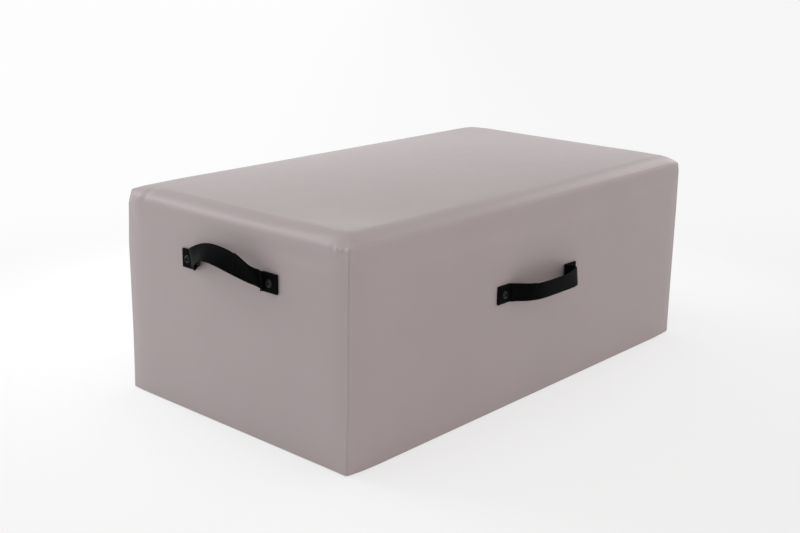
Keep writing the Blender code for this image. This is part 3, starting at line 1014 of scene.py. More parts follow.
@dataclass
class Cover:
    """The sewn vinyl cover: a crowned top and four flaps, seamed at the upright corners."""

    skin: Skin
    finish: VinylFinish
    tabs: list[Vector]
    thickness: float = 0.0012
    seam_depth: float = 0.0006
    seam_width: float = 0.0006
    corner_runs: tuple[float, ...] = (
        0, 0.4, 0.8, 1.3, 1.9, 2.6, 3.4, 4.4, 5.6, 7, 8.4, 9.8, 11.2, 12.6, 14, 15.4, 16.8, 18.2, 19.6, 21,
        22.4, 23.8, 25.2, 26.6, 28, 29.4, 31, 33, 36, 40, 45, 50)
    puckers: tuple[tuple[float, ...], ...] = (
        (-1, -1, 0.0053, 0.2682, 0.0013, 0.0026), (-1, -1, 0.0142, 0.2674, 0.0015, 0.0021),
        (-1, -1, 0.0207, 0.2674, 0.0013, 0.0026), (-1, -1, 0.0336, 0.2672, 0.0006, 0.0040),
        (-1, 1, 0.0335, 0.2716, 0.0010, 0.0056), (-1, 1, 0.0435, 0.2716, -0.0010, 0.0040),
        (-1, 1, 0.0540, 0.2716, 0.0008, 0.0080),
        (1, -1, 0.0080, 0.2680, 0.0009, 0.0028), (1, -1, 0.0210, 0.2670, 0.0008, 0.0030),
        (1, 1, 0.0070, 0.2680, 0.0009, 0.0030), (1, 1, 0.0170, 0.2670, 0.0007, 0.0026),
        (1, 1, 0.0290, 0.2670, 0.0008, 0.0034))
    swell: float = 0.0012
    swell_top: float = 0.16
    swell_ends: float = 0.05
    gather_depth: float = 0.02
    tuck_reach: float = 0.016
    cloth_frames: int = 20
    pressure: float = 4.0
    held_foot: Pair = (0.003, 0.006)
    held_tab: Pair = (0.030, 0.012)
    wall_limit: float = 0.0011
    top_limit: float = 0.0004
    limit_fade: Pair = (0.010, 0.020)
    middle_x: int = 38
    middle_y: int = 20
    foot_rows: int = 4
    wall_rows: int = 34
    edge_rows: int = 27
    seam_rows: int = 7
    crowding: float = 1.5
    turns_under: tuple[Pair, ...] = ((0.0115, 0.0003), (0.0135, 0.0011), (0.022, 0.0011), (0.032, 0.0011))

    def grid(self) -> tuple[int, int, int]:
        """How many quads the cover has along X, along Y and up its sides.

        Returns:
            The three counts.
        """
        corners = 2 * (len(self.corner_runs) - 1)
        rows = self.foot_rows + self.wall_rows + self.edge_rows
        return corners + self.middle_x, corners + self.middle_y, rows

    def level(self, row: int) -> float:
        """The skin's level of a row. The rows are closer together under the top edge.

        Args:
            row: The row, from the foot.

        Returns:
            The level, from 0 to 3.
        """
        if row <= self.foot_rows:
            return row / self.foot_rows
        if row <= self.foot_rows + self.wall_rows:
            share = (row - self.foot_rows) / self.wall_rows
            return 2 - (1 - share) ** self.crowding
        return 2 + (row - self.foot_rows - self.wall_rows) / self.edge_rows

    def blank(self) -> bpy.types.Object:
        """A cube without its floor, cut into the cover's grid.

        Returns:
            The blank.
        """
        skin = self.skin
        clear_selection()
        bpy.ops.mesh.primitive_cube_add(size=1.0, location=(0, 0, skin.height / 2))
        cover = named("vinyl_cover_sewn")
        cover.scale = (skin.length, skin.width, skin.height)
        settle(cover)
        with editing(cover, "FACE"):
            pick_faces(cover, lambda face: face.normal.z < -0.9)
            bpy.ops.mesh.delete(type="FACE")
        with editing(cover, "EDGE"):
            for axis, count in zip(Axis, self.grid()):
                pick_edges(cover, runs_along(axis))
                bpy.ops.mesh.subdivide(number_cuts=count - 1)
        return cover

    def side_run(self, index: int, count: int) -> Pair:
        """Where a column stands along its side.

        Args:
            index: The column, from the side's low end.
            count: How many quads the side has.

        Returns:
            The run in metres from the nearest corner, or -1 in the middle of the side, and the
            share of the side's middle.
        """
        last = len(self.corner_runs) - 1
        near = min(index, count - index)
        if near <= last:
            return self.corner_runs[near] * MM, 0.0
        return -1.0, (index - last) / (count - 2 * last)

    def corner_run(self, i: int, j: int) -> float:
        """The run from the nearest corner of a column of the walls, or -1 away from the corners."""
        nx, ny, _ = self.grid()
        return self.side_run(i, nx)[0] if j in (0, ny) else self.side_run(j, ny)[0]

    def along_side(self, index: int, count: int, half: float, radius: float, tuck: Pair) -> Pair:
        """The place of a column in the plan, on a ring.

        Args:
            index: The column.
            count: How many quads the side has.
            half: The ring's half length along this side.
            radius: The ring's corner radius.
            tuck: How far the ring's corner is drawn in along the side and behind its plane.

        Returns:
            The place along the side and the depth behind the side's plane.
        """
        arc = math.pi / 4 * radius
        run, share = self.side_run(index, count)
        if run < 0:
            last = self.corner_runs[-1] * MM
            run = last + (arc + half - radius - last) * (1 - abs(2 * share - 1))
        sign = -1 if index < count - index else 1
        near = math.exp(-(run / self.tuck_reach) ** 2)
        if run < arc:
            angle = math.pi / 4 - run / radius
            place = half - radius + radius * math.sin(angle)
            depth = radius * (1 - math.cos(angle))
        else:
            place = half - radius - (run - arc)
            depth = 0.0
        return sign * (place - near * tuck[0]), depth + near * tuck[1]

    def on_ring(self, i: int, j: int, ring: Ring) -> Vector:
        """The place of a column of the walls on a ring.

        Args:
            i: Its index along X.
            j: Its index along Y.
            ring: The ring.

        Returns:
            The place.
        """
        nx, ny, _ = self.grid()
        inset, height, radius, tuck = ring
        half_x = self.skin.length / 2 - inset
        half_y = self.skin.width / 2 - inset
        if j in (0, ny):
            x, depth = self.along_side(i, nx, half_x, radius, tuck)
            return Vector((x, (half_y - depth) * (1 if j else -1), height))
        y, depth = self.along_side(j, ny, half_y, radius, (tuck[1], tuck[0]))
        return Vector(((half_x - depth) * (1 if i else -1), y, height))

    def wall_point(self, i: int, j: int, k: int) -> Vector:
        """The place of a grid point of the walls, which come to a point at the upper corners.

        Args:
            i: Its index along X.
            j: Its index along Y.
            k: Its row.

        Returns:
            The place.
        """
        nx, ny, _ = self.grid()
        level = self.level(k)
        form = self.skin.corners[(2 * i > nx, 2 * j > ny)]
        place = self.on_ring(i, j, self.skin.meridian(level, form))
        run = self.corner_run(i, j)
        if level <= 2 or run < 0:
            return place
        pointed = self.on_ring(i, j, self.skin.mitre(level, self.seam_rows / self.edge_rows, form))
        return place.lerp(pointed, math.exp(-(run / self.skin.tip_width) ** 2))

    def shape(self, cover: bpy.types.Object) -> np.ndarray:
        """Lays the grid on the skin: the walls ring by ring, the top between their upper edges.

        Args:
            cover: The cut blank.

        Returns:
            The grid indices of every vertex.
        """
        skin = self.skin
        nx, ny, nz = self.grid()
        points = read_points(cover)
        index = np.stack([np.rint((points[:, 0] / skin.length + 0.5) * nx),
                          np.rint((points[:, 1] / skin.width + 0.5) * ny),
                          np.rint(points[:, 2] / skin.height * nz)], 1).astype(int)
        cells = [tuple(map(int, cell)) for cell in index]
        placed = {(i, j, k): self.wall_point(i, j, k) for i, j, k in cells if i in (0, nx) or j in (0, ny)}
        share_x = [self.top_share(i, nx, skin.length) for i in range(nx + 1)]
        share_y = [self.top_share(j, ny, skin.width) for j in range(ny + 1)]
        corners = [placed[(i, j, nz)] for j in (0, ny) for i in (0, nx)]
        for i, j, k in cells:
            if (i, j, k) in placed:
                continue
            u, v = share_x[i], share_y[j]
            low, high = placed[(i, 0, nz)], placed[(i, ny, nz)]
            left, right = placed[(0, j, nz)], placed[(nx, j, nz)]
            bilinear = ((1 - u) * (1 - v) * corners[0] + u * (1 - v) * corners[1]
                        + (1 - u) * v * corners[2] + u * v * corners[3])
            placed[(i, j, k)] = (1 - v) * low + v * high + (1 - u) * left + u * right - bilinear
        points = np.array([placed[cell] for cell in cells])
        top = index[:, 2] == nz
        points[top, 2] = skin.crown_foot + skin.crown_rise(points[top, 0], points[top, 1])
        points[:, 2] -= skin.sag(points)
        points[:, 1] -= self.front_swell(points)
        write_points(cover, points)
        return index

    def front_swell(self, points: np.ndarray) -> np.ndarray:
        """How far the long front stands fuller than the skin, most near its foot.

        Args:
            points: The cover's points, in rows.

        Returns:
            The swell at each.
        """
        front = points[:, 1] < -self.skin.width / 2 + 0.004
        inner = ramp(self.skin.length / 2 - np.abs(points[:, 0]), 0.0, self.swell_ends)
        low = np.clip(1 - points[:, 2] / self.swell_top, 0, 1) ** 2
        return np.where(front, self.swell * inner * (0.5 + low), 0.0)

    def gathers(self, points: np.ndarray) -> np.ndarray:
        """The small gathers that the seams' ends pull into the end faces.

        Args:
            points: The cover's points, in rows.

        Returns:
            How far each stands out.
        """
        height = np.zeros(len(points))
        for sign_x, sign_y, run, level, amount, reach in self.puckers:
            beside = (self.skin.width / 2 - sign_y * points[:, 1] - run) ** 2
            above = (points[:, 2] - level) ** 2
            near = sign_x * points[:, 0] > self.skin.length / 2 - self.gather_depth
            height += np.where(near, amount * np.exp(-(beside + above * 0.7) / reach ** 2), 0.0)
        return height

    def top_share(self, index: int, count: int, size: float) -> float:
        """The share of the way across the top at which a grid line lies.

        Args:
            index: The grid line.
            count: How many quads lie across.
            size: The top's size across.

        Returns:
            The share.
        """
        run, share = self.side_run(index, count)
        last = self.corner_runs[-1] * MM
        if run < 0:
            return last / size + (1 - 2 * last / size) * share
        return run / size if index < count - index else 1 - run / size

    def seam_shares(self, index: np.ndarray) -> np.ndarray:
        """How much of the corner seam each vertex has.

        Args:
            index: The grid indices of every vertex.

        Returns:
            The share of each, from 0 to 1.
        """
        shares = np.zeros(len(index))
        tip_row = self.foot_rows + self.wall_rows + self.seam_rows
        for number, (i, j, k) in enumerate(index):
            run = self.corner_run(int(i), int(j)) if k <= tip_row + 2 else -1
            if 0 <= run <= 4 * self.seam_width:
                fade = 1.0 if k <= tip_row else 0.45 ** (k - tip_row)
                shares[number] = math.exp(-(run / self.seam_width) ** 2) * fade
        return shares

    def build(self) -> bpy.types.Object:
        """Builds the cover.

        Returns:
            The finished piece.
        """
        cover = self.blank()
        shares = self.seam_shares(self.shape(cover))
        normals = read_normals(cover)
        write_points(cover, read_points(cover) - normals * (shares * self.seam_depth)[:, None])
        self.puff(cover, shares)
        points = read_points(cover)
        write_points(cover, points + normals * self.gathers(points)[:, None])
        # The seam shares go to the vinyl as the mask for its painted seam shade.
        attribute = cover.data.attributes.new("seam", "FLOAT", "POINT")
        attribute.data.foreach_set("value", shares.astype(np.float32))
        self.turn_under(cover)
        thicken(cover, self.thickness, -1)
        smooth(cover, 55)
        dress(cover, self.finish.material())
        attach(cover, Body.BOX.value)
        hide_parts("vinyl_cover")
        LOG.info("cover: %d vertices", len(cover.data.vertices))
        return cover

    def held(self, points: np.ndarray, shares: np.ndarray) -> np.ndarray:
        """How firmly each vertex is held: at the foot, at the seams and under the straps' tabs.

        Args:
            points: The cover's points, in rows.
            shares: How much of the corner seam each vertex has.

        Returns:
            The hold on each, from 0 to 1.
        """
        foot, fade = self.held_foot
        firm = np.clip(shares * 3, 0, 1)
        firm = np.maximum(firm, np.clip(1 - (points[:, 2] - foot) / fade, 0, 1))
        reach, fade = self.held_tab
        for place in self.tabs:
            away = np.linalg.norm(points - np.array(place), axis=1)
            firm = np.maximum(firm, ramp(reach - away, 0.0, fade))
        return firm

    def puff(self, cover: bpy.types.Object, shares: np.ndarray) -> None:
        """Lets the cover swell a little as cloth over its foam, held where it is fastened.

        Args:
            cover: The shaped cover, a mesh without thickness.
            shares: How much of the corner seam each vertex has.
        """
        points = read_points(cover)
        group = cover.vertex_groups.new(name="held")
        for number, weight in enumerate(self.held(points, shares)):
            group.add([number], float(weight), "REPLACE")
        cloth = cover.modifiers.new("cloth", "CLOTH")
        for key, value in (("quality", 4), ("mass", 0.3), ("tension_stiffness", 20),
                           ("compression_stiffness", 20), ("bending_stiffness", 2),
                           ("vertex_group_mass", "held"), ("use_pressure", True),
                           ("uniform_pressure_force", self.pressure)):
            setattr(cloth.settings, key, value)
        cloth.settings.effector_weights.gravity = 0
        cloth.point_cache.frame_end = self.cloth_frames
        cloth.collision_settings.use_collision = False
        for number in range(1, self.cloth_frames + 1):
            bpy.context.scene.frame_set(number)
        swollen = read_points(cover.evaluated_get(bpy.context.evaluated_depsgraph_get()))
        cover.modifiers.remove(cloth)
        cover.vertex_groups.remove(group)
        bpy.context.scene.frame_set(1)
        move = swollen - points
        reach = np.linalg.norm(move, axis=1)
        over, fade = self.limit_fade
        wall = ramp(self.skin.wall_top + over - points[:, 2], 0.0, fade)
        limit = self.top_limit + (self.wall_limit - self.top_limit) * wall
        LOG.info("cloth: moved %.2f mm at most before the limit", reach.max() * 1000)
        write_points(cover, points + move * (limit / (reach + limit))[:, None])

    def turn_under(self, cover: bpy.types.Object) -> None:
        """Turns the cover's lower edge in under the box, step by step.

        Args:
            cover: The shaped cover.
        """
        for inset, height in self.turns_under:
            half_x = self.skin.length / 2 - inset
            half_y = self.skin.width / 2 - inset
            with editing(cover, "EDGE"):
                pick_edges(cover, lambda edge: edge.is_boundary)
                bpy.ops.mesh.extrude_edges_move()
                shape = bmesh.from_edit_mesh(cover.data)
                for vertex in shape.verts:
                    if vertex.select:
                        vertex.co.x = max(-half_x, min(half_x, vertex.co.x))
                        vertex.co.y = max(-half_y, min(half_y, vertex.co.y))
                        vertex.co.z = height
                bmesh.update_edit_mesh(cover.data)
                bpy.ops.mesh.remove_doubles(threshold=0.0002)


# Webbing handles


@dataclass(frozen=True)
class Leg:
    """How one half of a strap rises from its tab.

    Its squareness is that of a superellipse, its shoulder says how far it leans outwards, its
    span how wide the lift is and its power how soon it comes, and its tilt how the webbing leans
    near the tab. Slack is how much further in the under layer is sewn, which then cuts across.
    Hitch is how far the webbing is drawn up beside the tab.
    """

    squareness: float = 2.6
    shoulder: float = 0.005
    span: float = 0.067
    tilt: float = 0.0
    power: float = 3.0
    slack: float = 0.0
    hitch: float = 0.0


@dataclass(frozen=True)
class StrapForm:
    """How the webbing of one handle stands between its tabs, in the handle's frame.

    In that frame X runs along the handle, Y out of the face and Z up. Leg a is on the low side
    of X and leg b on the high side.
    """

    leg_a: Leg = Leg()
    leg_b: Leg = Leg()
    bow: float = 0.0256
    lift: float = 0.0
    tilt: float = 0.0
    wave: float = 0.0003


@dataclass
class Strap:
    """Half of a carrying handle: webbing from the folded tab to the middle of the grip."""

    form: StrapForm
    side: int
    web_width: float = 0.0242
    web_thickness: float = 0.0014
    rim: float = 0.0004
    curl: float = 0.00018
    lean_start: float = 0.35
    least_square: float = 0.85
    wave_turns: Pair = (155.0, 1.7)
    screw_along: float = 0.075
    tab_end: float = 0.0875
    tab_start: float = 0.0615
    under_out: float = 0.00115
    outer_out: float = 0.0027
    bend_radius: float = 0.0025
    under_reach: float = 0.036
    tab_steps: int = 12
    bend_steps: int = 6
    arch_steps: int = 44
    cut_steps: int = 24
    across_steps: int = 12

    @property
    def leg(self) -> Leg:
        """The form of this half."""
        return self.form.leg_b if self.side > 0 else self.form.leg_a

    def outer_line(self) -> list[tuple[Vector, float]]:
        """The outer layer's middle line, from the folded end to the middle of the grip.

        Returns:
            Places as along and out, with each place's share of the arch.
        """
        line = []
        tab_stop = self.tab_start + self.bend_radius
        fold = (self.outer_out - self.under_out) / 2
        start = self.tab_end - fold - self.web_thickness / 2
        for step in range(self.tab_steps + 1):
            place = start + (tab_stop - start) * step / self.tab_steps
            line.append((Vector((place, self.outer_out)), 0.0))
        for step in range(1, self.bend_steps):
            angle = math.pi / 2 * step / self.bend_steps
            line.append((Vector((tab_stop - self.bend_radius * math.sin(angle),
                                 self.outer_out + self.bend_radius * (1 - math.cos(angle)))), 0.0))
        spring = self.outer_out + self.bend_radius
        power = self.leg.squareness
        for step in range(self.arch_steps + 1):
            angle = math.pi / 2 * step / self.arch_steps
            reach = (math.cos(angle) ** power + math.sin(angle) ** power) ** (1 / power)
            share = math.sin(angle) / reach
            stand = self.leg.shoulder * (1 - (1 - share) ** 4)
            along = (self.tab_start + stand) * max(math.cos(angle), 0) / reach
            line.append((Vector((along, spring + (self.form.bow - self.bend_radius) * share)), share))
        return line

    def layers(self) -> list[tuple[Vector, float, float]]:
        """The whole ribbon's middle line: up the hidden layer, round the fold and out over it.

        Returns:
            Places as along and out, their share of the arch, and 1 on the under layer.
        """
        outer = self.outer_line()
        gap = self.outer_out - self.under_out
        under = []
        for index, (place, share) in enumerate(outer):
            if share > 0 and place.x < self.under_reach - self.leg.slack:
                break
            before = outer[max(index - 1, 0)][0]
            after = outer[min(index + 1, len(outer) - 1)][0]
            run = (after - before).normalized()
            inward = Vector((-abs(run.y), -abs(run.x)))
            under.append((place + inward * gap, share, 1.0))
        if self.leg.slack:
            under = self.short_cut(under)
        fold = []
        centre = Vector((outer[0][0].x, (self.outer_out + self.under_out) / 2))
        for step in range(1, self.bend_steps):
            angle = -math.pi / 2 + math.pi * step / self.bend_steps
            fold.append((centre + Vector((math.cos(angle), math.sin(angle))) * gap / 2, 0.0, 0.5))
        return list(reversed(under)) + fold + [(place, share, 0.0) for place, share in outer]

    def short_cut(self, under: list[tuple[Vector, float, float]]) -> list[tuple[Vector, float, float]]:
        """The under layer's line where it is slack: from the tab straight to its seam.

        Args:
            under: The line that follows the outer layer.

        Returns:
            The line that cuts its bulge off.
        """
        seam = self.under_reach - self.leg.slack
        flat = [item for item in under if item[1] == 0 and item[0].x >= self.tab_start + 0.002]
        sewn = [item for item in under if item[1] > 0 and item[0].x < seam + 0.004]
        first = flat[-1][0]
        last, reached = sewn[0][0], sewn[0][1]
        steer = first.lerp(last, 0.5) - Vector((0, 0.3 * (last.y - first.y)))
        swung = []
        for step in range(1, self.cut_steps):
            way = step / self.cut_steps
            place = first.lerp(steer, way).lerp(steer.lerp(last, way), way)
            swung.append((place, reached * way ** 0.6, 1.0))
        return flat + swung + sewn

    def tilt(self, share: float) -> float:
        """The lean of the webbing's width at a share of the arch.

        Args:
            share: The share, 0 at the tab and 1 in the middle of the grip.

        Returns:
            The angle.
        """
        blend = share ** 3
        return share ** 0.7 * (self.leg.tilt * (1 - blend) + self.form.tilt * blend)

    def height(self, place: Vector, share: float) -> float:
        """How far the middle line stands over the screws' line.

        Args:
            place: The place along and out.
            share: Its share of the arch.

        Returns:
            The height.
        """
        rise = max(1 - (place.x / self.leg.span) ** 2, 0.0)
        # 6.75 brings the highest value of share * (1 - share) ** 2 to 1
        hitch = self.leg.hitch * 6.75 * share * (1 - share) ** 2
        return self.form.lift * rise * (1 - (1 - share) ** self.leg.power) + hitch

    def build(self, name: str, material: bpy.types.Material) -> bpy.types.Object:
        """Lays a strip of webbing along the line.

        Args:
            name: The piece's name.
            material: The webbing.

        Returns:
            The half strap in the handle's frame.
        """
        line = self.layers()
        spine = [Vector((place.x, place.y, self.height(place, share))) for place, share, under in line]
        runs = [0.0]
        for before, after in zip(spine, spine[1:]):
            runs.append(runs[-1] + (after - before).length)
        clear_selection()
        bpy.ops.mesh.primitive_grid_add(x_subdivisions=len(line) - 1,
                                        y_subdivisions=self.across_steps, size=1.0)
        strap = named(name)
        grid = read_points(strap)
        columns = np.rint((grid[:, 0] + 0.5) * (len(line) - 1)).astype(int)
        points = np.zeros_like(grid)
        flat = np.zeros((len(grid), 2))
        for number, column in enumerate(columns):
            across = grid[number, 1]
            points[number] = self.section_point(spine, line, int(column), across, runs[column])
            flat[number] = (runs[column], across * self.web_width)
        points[:, 0] *= self.side
        write_points(strap, points)
        corners = np.zeros(len(strap.data.loops), int)
        strap.data.loops.foreach_get("vertex_index", corners)
        strap.data.uv_layers[0].data.foreach_set("uv", flat[corners].astype(np.float32).ravel())
        thicken(strap, self.web_thickness, 0)
        points = read_points(strap)
        points[np.abs(points[:, 0]) < 0.0001, 0] = 0.0
        write_points(strap, points)
        with editing(strap, "EDGE"):
            pick_edges(strap, lambda edge: edge.calc_face_angle(0.0) > math.radians(60)
                       and any(vertex.co.x != 0.0 for vertex in edge.verts))
            bpy.ops.mesh.bevel(offset=self.rim, segments=2, affect="EDGES")
        outward(strap)
        smooth(strap, 50)
        dress(strap, material)
        return strap

    def section_point(self, spine: list[Vector], line: list[tuple[Vector, float, float]], column: int,
                      across: float, run_length: float) -> Vector:
        """A point of the strip.

        Args:
            spine: The middle line.
            line: The line's shares and layers.
            column: Which place along it.
            across: From -0.5 at the lower edge to 0.5 at the upper one.
            run_length: The length of webbing up to here.

        Returns:
            The point.
        """
        share, under = line[column][1], line[column][2]
        here = spine[column]
        before = spine[max(column - 1, 0)]
        after = spine[min(column + 1, len(spine) - 1)]
        run = (after - before).normalized() if share < 1 else Vector((-1, 0, 0))
        tilt = self.tilt(share)
        ruling = Vector((0, -math.sin(tilt), math.cos(tilt)))
        square = ruling - run * run.dot(ruling)
        lean = min(share / self.lean_start, 1.0) * (1 / max(square.length, self.least_square) - 1)
        wide = ruling * (self.web_width * across * (1 + lean))
        thick = run.cross(square.normalized())
        curl = self.curl * (2 * across) ** 4 * (1 - under)
        turns, slant = self.wave_turns
        wave = self.form.wave * share * (1 - share ** 8) * math.sin(run_length * turns + across * slant)
        return here + wide + thick * (wave - curl)


@dataclass
class Stitch:
    """One lock stitch of thread, which lies on the webbing."""

    length: float = 0.0026
    thickness: float = 0.0007

    def master(self) -> bpy.types.Object:
        """A rounded stitch along X: a cube drawn out, its ends drawn in.

        Returns:
            The stitch.
        """
        clear_selection()
        bpy.ops.mesh.primitive_cube_add(size=1.0, location=(0, 0, 0))
        stitch = named("stitch")
        stitch.scale = (self.length, self.thickness, self.thickness * 0.8)
        settle(stitch)
        soft = stitch.modifiers.new("soft", "SUBSURF")
        soft.levels = soft.render_levels = 1
        apply_modifiers(stitch)
        smooth(stitch, 80)
        return stitch


@dataclass
class ButtonScrew:
    """A black button head screw with a hexagon socket."""

    head_radius: float = 0.00525
    head_height: float = 0.0033
    rim_height: float = 0.0007
    sink: float = 0.0004
    shank_radius: float = 0.003
    shank_length: float = 0.0295
    socket_flats: float = 0.004
    socket_depth: float = 0.0019
    chamfer: float = 0.00025
    dome_steps: int = 9
    sides: int = 48

    def dome(self) -> list[Pair]:
        """The head's profile, from its rim to the edge of the socket.

        Returns:
            Each step's radius and height.
        """
        top = self.socket_flats / 2 / math.cos(math.pi / 6) * 1.12
        steps = []
        for step in range(1, self.dome_steps):
            angle = math.pi / 2 * step / self.dome_steps
            radius = self.head_radius * math.cos(angle)
            if radius < top:
                break
            rise = self.rim_height + (self.head_height - self.rim_height) * math.sin(angle)
            steps.append((radius, rise))
        return steps + [(top, self.head_height)]

    def master(self, material: bpy.types.Material) -> bpy.types.Object:
        """The screw along +Z, its seat at the origin: a disc drawn up into the head and down.

        Args:
            material: The coated steel.

        Returns:
            The screw.
        """
        clear_selection()
        bpy.ops.mesh.primitive_cylinder_add(vertices=self.sides, radius=self.head_radius,
                                            depth=self.rim_height + self.sink,
                                            location=(0, 0, (self.rim_height - self.sink) / 2))
        screw = named("button_screw")
        settle(screw)
        with editing(screw, "FACE"):
            pick_faces(screw, lambda face: face.normal.z > 0.9)
            for radius, height in self.dome():
                self.step(screw, radius, height)
            self.step(screw, None, self.head_height - self.chamfer)
            self.step(screw, None, self.head_height - self.socket_depth)
        with editing(screw, "FACE"):
            pick_faces(screw, lambda face: face.normal.z < -0.9)
            self.step(screw, self.shank_radius, -self.sink)
            self.step(screw, self.shank_radius, -self.shank_length + 0.001)
            self.step(screw, self.shank_radius * 0.7, -self.shank_length)
        edge = screw.modifiers.new("edge", "BEVEL")
        edge.width = 0.00015
        edge.segments = 2
        edge.limit_method = "ANGLE"
        edge.angle_limit = math.radians(50)
        apply_modifiers(screw)
        outward(screw)
        smooth(screw, 35)
        dress(screw, material)
        return screw

    def step(self, screw: bpy.types.Object, radius: float | None, height: float) -> None:
        """Extrudes the picked cap and brings it to a radius, or to the socket, and a height.

        Args:
            screw: The screw in edit mode.
            radius: The new radius, or None for the hexagon.
            height: The cap's height.
        """
        bpy.ops.mesh.extrude_region_move()
        shape = bmesh.from_edit_mesh(screw.data)
        for vertex in shape.verts:
            if vertex.select:
                angle = math.atan2(vertex.co.y, vertex.co.x)
                turn = (angle + math.pi / 6) % (math.pi / 3) - math.pi / 6
                reach = radius if radius else self.socket_flats / 2 / math.cos(turn)
                vertex.co = Vector((reach * math.cos(angle), reach * math.sin(angle), height))
        bmesh.update_edit_mesh(screw.data)


@dataclass
class CarryHandle:
    """A webbing handle: two half straps, their stitches and two screws."""

    name: str
    grip: Body
    place: Vector
    turn: float
    form: StrapForm
    webbing: bpy.types.Material
    thread: bpy.types.Material
    screw: bpy.types.Object
    stitch: bpy.types.Object
    screw_seat: float = 0.0037
    blend_start: Pair = (0.0625, 0.002)
    blend_end: Pair = (0.047, 0.024)
    tab_middle: float = 0.0745
    stitch_pitch: float = 0.0034
    stitch_row: float = 0.0385

    def frame(self) -> Matrix:
        """The handle's frame in the row frame."""
        return Matrix.Translation(self.place) @ Matrix.Rotation(self.turn, 4, "Z")

    def tab_places(self) -> list[Vector]:
        """Where the two tabs are pressed to the cover, in the row frame."""
        return [self.frame() @ Vector((side * self.tab_middle, 0, 0)) for side in (-1, 1)]

    def stitches(self, strap: Strap) -> list[bpy.types.Object]:
        """A row of stitches across the webbing, where the under layer is sewn to it.

        Args:
            strap: The half strap.

        Returns:
            The stitches in the handle's frame.
        """
        line = strap.outer_line()
        row = self.stitch_row - strap.leg.slack
        column = min(range(len(line)), key=lambda n: abs(line[n][0].x - row) + (line[n][1] == 0))
        spine = [Vector((place.x, place.y, strap.height(place, share))) for place, share in line]
        shaped = [(place, share, 0.0) for place, share in line]
        count = int((strap.web_width - 0.004) / self.stitch_pitch)
        mirror = Matrix.Diagonal((strap.side, 1, 1, 1))
        made = []
        for step in range(count):
            across = (step + 0.5) / count - 0.5
            across *= (strap.web_width - 0.003) / strap.web_width
            here = strap.section_point(spine, shaped, column, across, 0.0)
            there = strap.section_point(spine, shaped, column, across + 0.01, 0.0)
            ahead = strap.section_point(spine, shaped, min(column + 1, len(line) - 1), across, 0.0)
            wide = (there - here).normalized()
            out = wide.cross((ahead - here).normalized()).normalized()
            if out.y < 0:
                out = -out
            basis = Matrix((wide, out.cross(wide), out)).transposed().to_4x4()
            basis.translation = here + out * (strap.web_thickness / 2 + 0.00002)
            made.append(copy_of(self.stitch, f"{self.name}_stitch", mirror @ basis))
        return made

    def build(self) -> list[bpy.types.Object]:
        """Builds both halves and sets the screws.

        Returns:
            The handle's pieces.
        """
        place = self.frame()
        pieces = []
        for side, letter in ((-1, "a"), (1, "b")):
            strap = Strap(self.form, side)
            half = strap.build(f"{self.name}_strap_{letter}", self.webbing)
            thread = join(f"{self.name}_stitching_{letter}", self.stitches(strap))
            outward(thread)
            dress(thread, self.thread)
            for piece in (half, thread):
                piece.data.transform(place)
                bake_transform(piece)
            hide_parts(f"{self.name}_tab_{letter}", f"{self.name}_grip")
            along = side * strap.screw_along
            seat = Matrix.Translation((along, self.screw_seat, 0)) @ Matrix.Rotation(-math.pi / 2, 4, "X")
            head = copy_of(self.screw, f"{self.name}_button_screw_{letter}",
                           place @ seat @ Matrix.Rotation(0.4 + 0.7 * side, 4, "Z"))
            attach(head, Body.BOX.value)
            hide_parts(f"{self.name}_screw_{letter}")
            pieces += [half, thread, head]
        LOG.info("%s: %d pieces", self.name, len(pieces))
        return pieces


# Underside


@dataclass
class Staple:
    """A wire staple: a crown whose two legs go up into the wood."""

    crown: Triple = (0.0104, 0.0012, 0.0005)
    leg_inside: float = 0.0046
    leg: float = 0.0035

    def master(self) -> bpy.types.Object:
        """The staple with its crown along X: a flat bar whose ends are drawn up into legs.

        Returns:
            The staple.
        """
        clear_selection()
        bpy.ops.mesh.primitive_cube_add(size=1.0, location=(0, 0, 0))
        staple = named("staple")
        staple.scale = self.crown
        settle(staple)
        with editing(staple, "EDGE"):
            pick_edges(staple, runs_along(Axis.X))
            bpy.ops.mesh.subdivide(number_cuts=2)
        points = read_points(staple)
        inner = np.abs(points[:, 0]) < self.crown[0] / 3
        points[inner, 0] = np.sign(points[inner, 0]) * self.leg_inside
        write_points(staple, points)
        with editing(staple, "FACE"):
            pick_faces(staple, lambda face: face.normal.z > 0.9
                       and abs(face.calc_center_median().x) > self.leg_inside)
            bpy.ops.mesh.extrude_region_move(TRANSFORM_OT_translate={"value": (0, 0, self.leg)})
        return staple


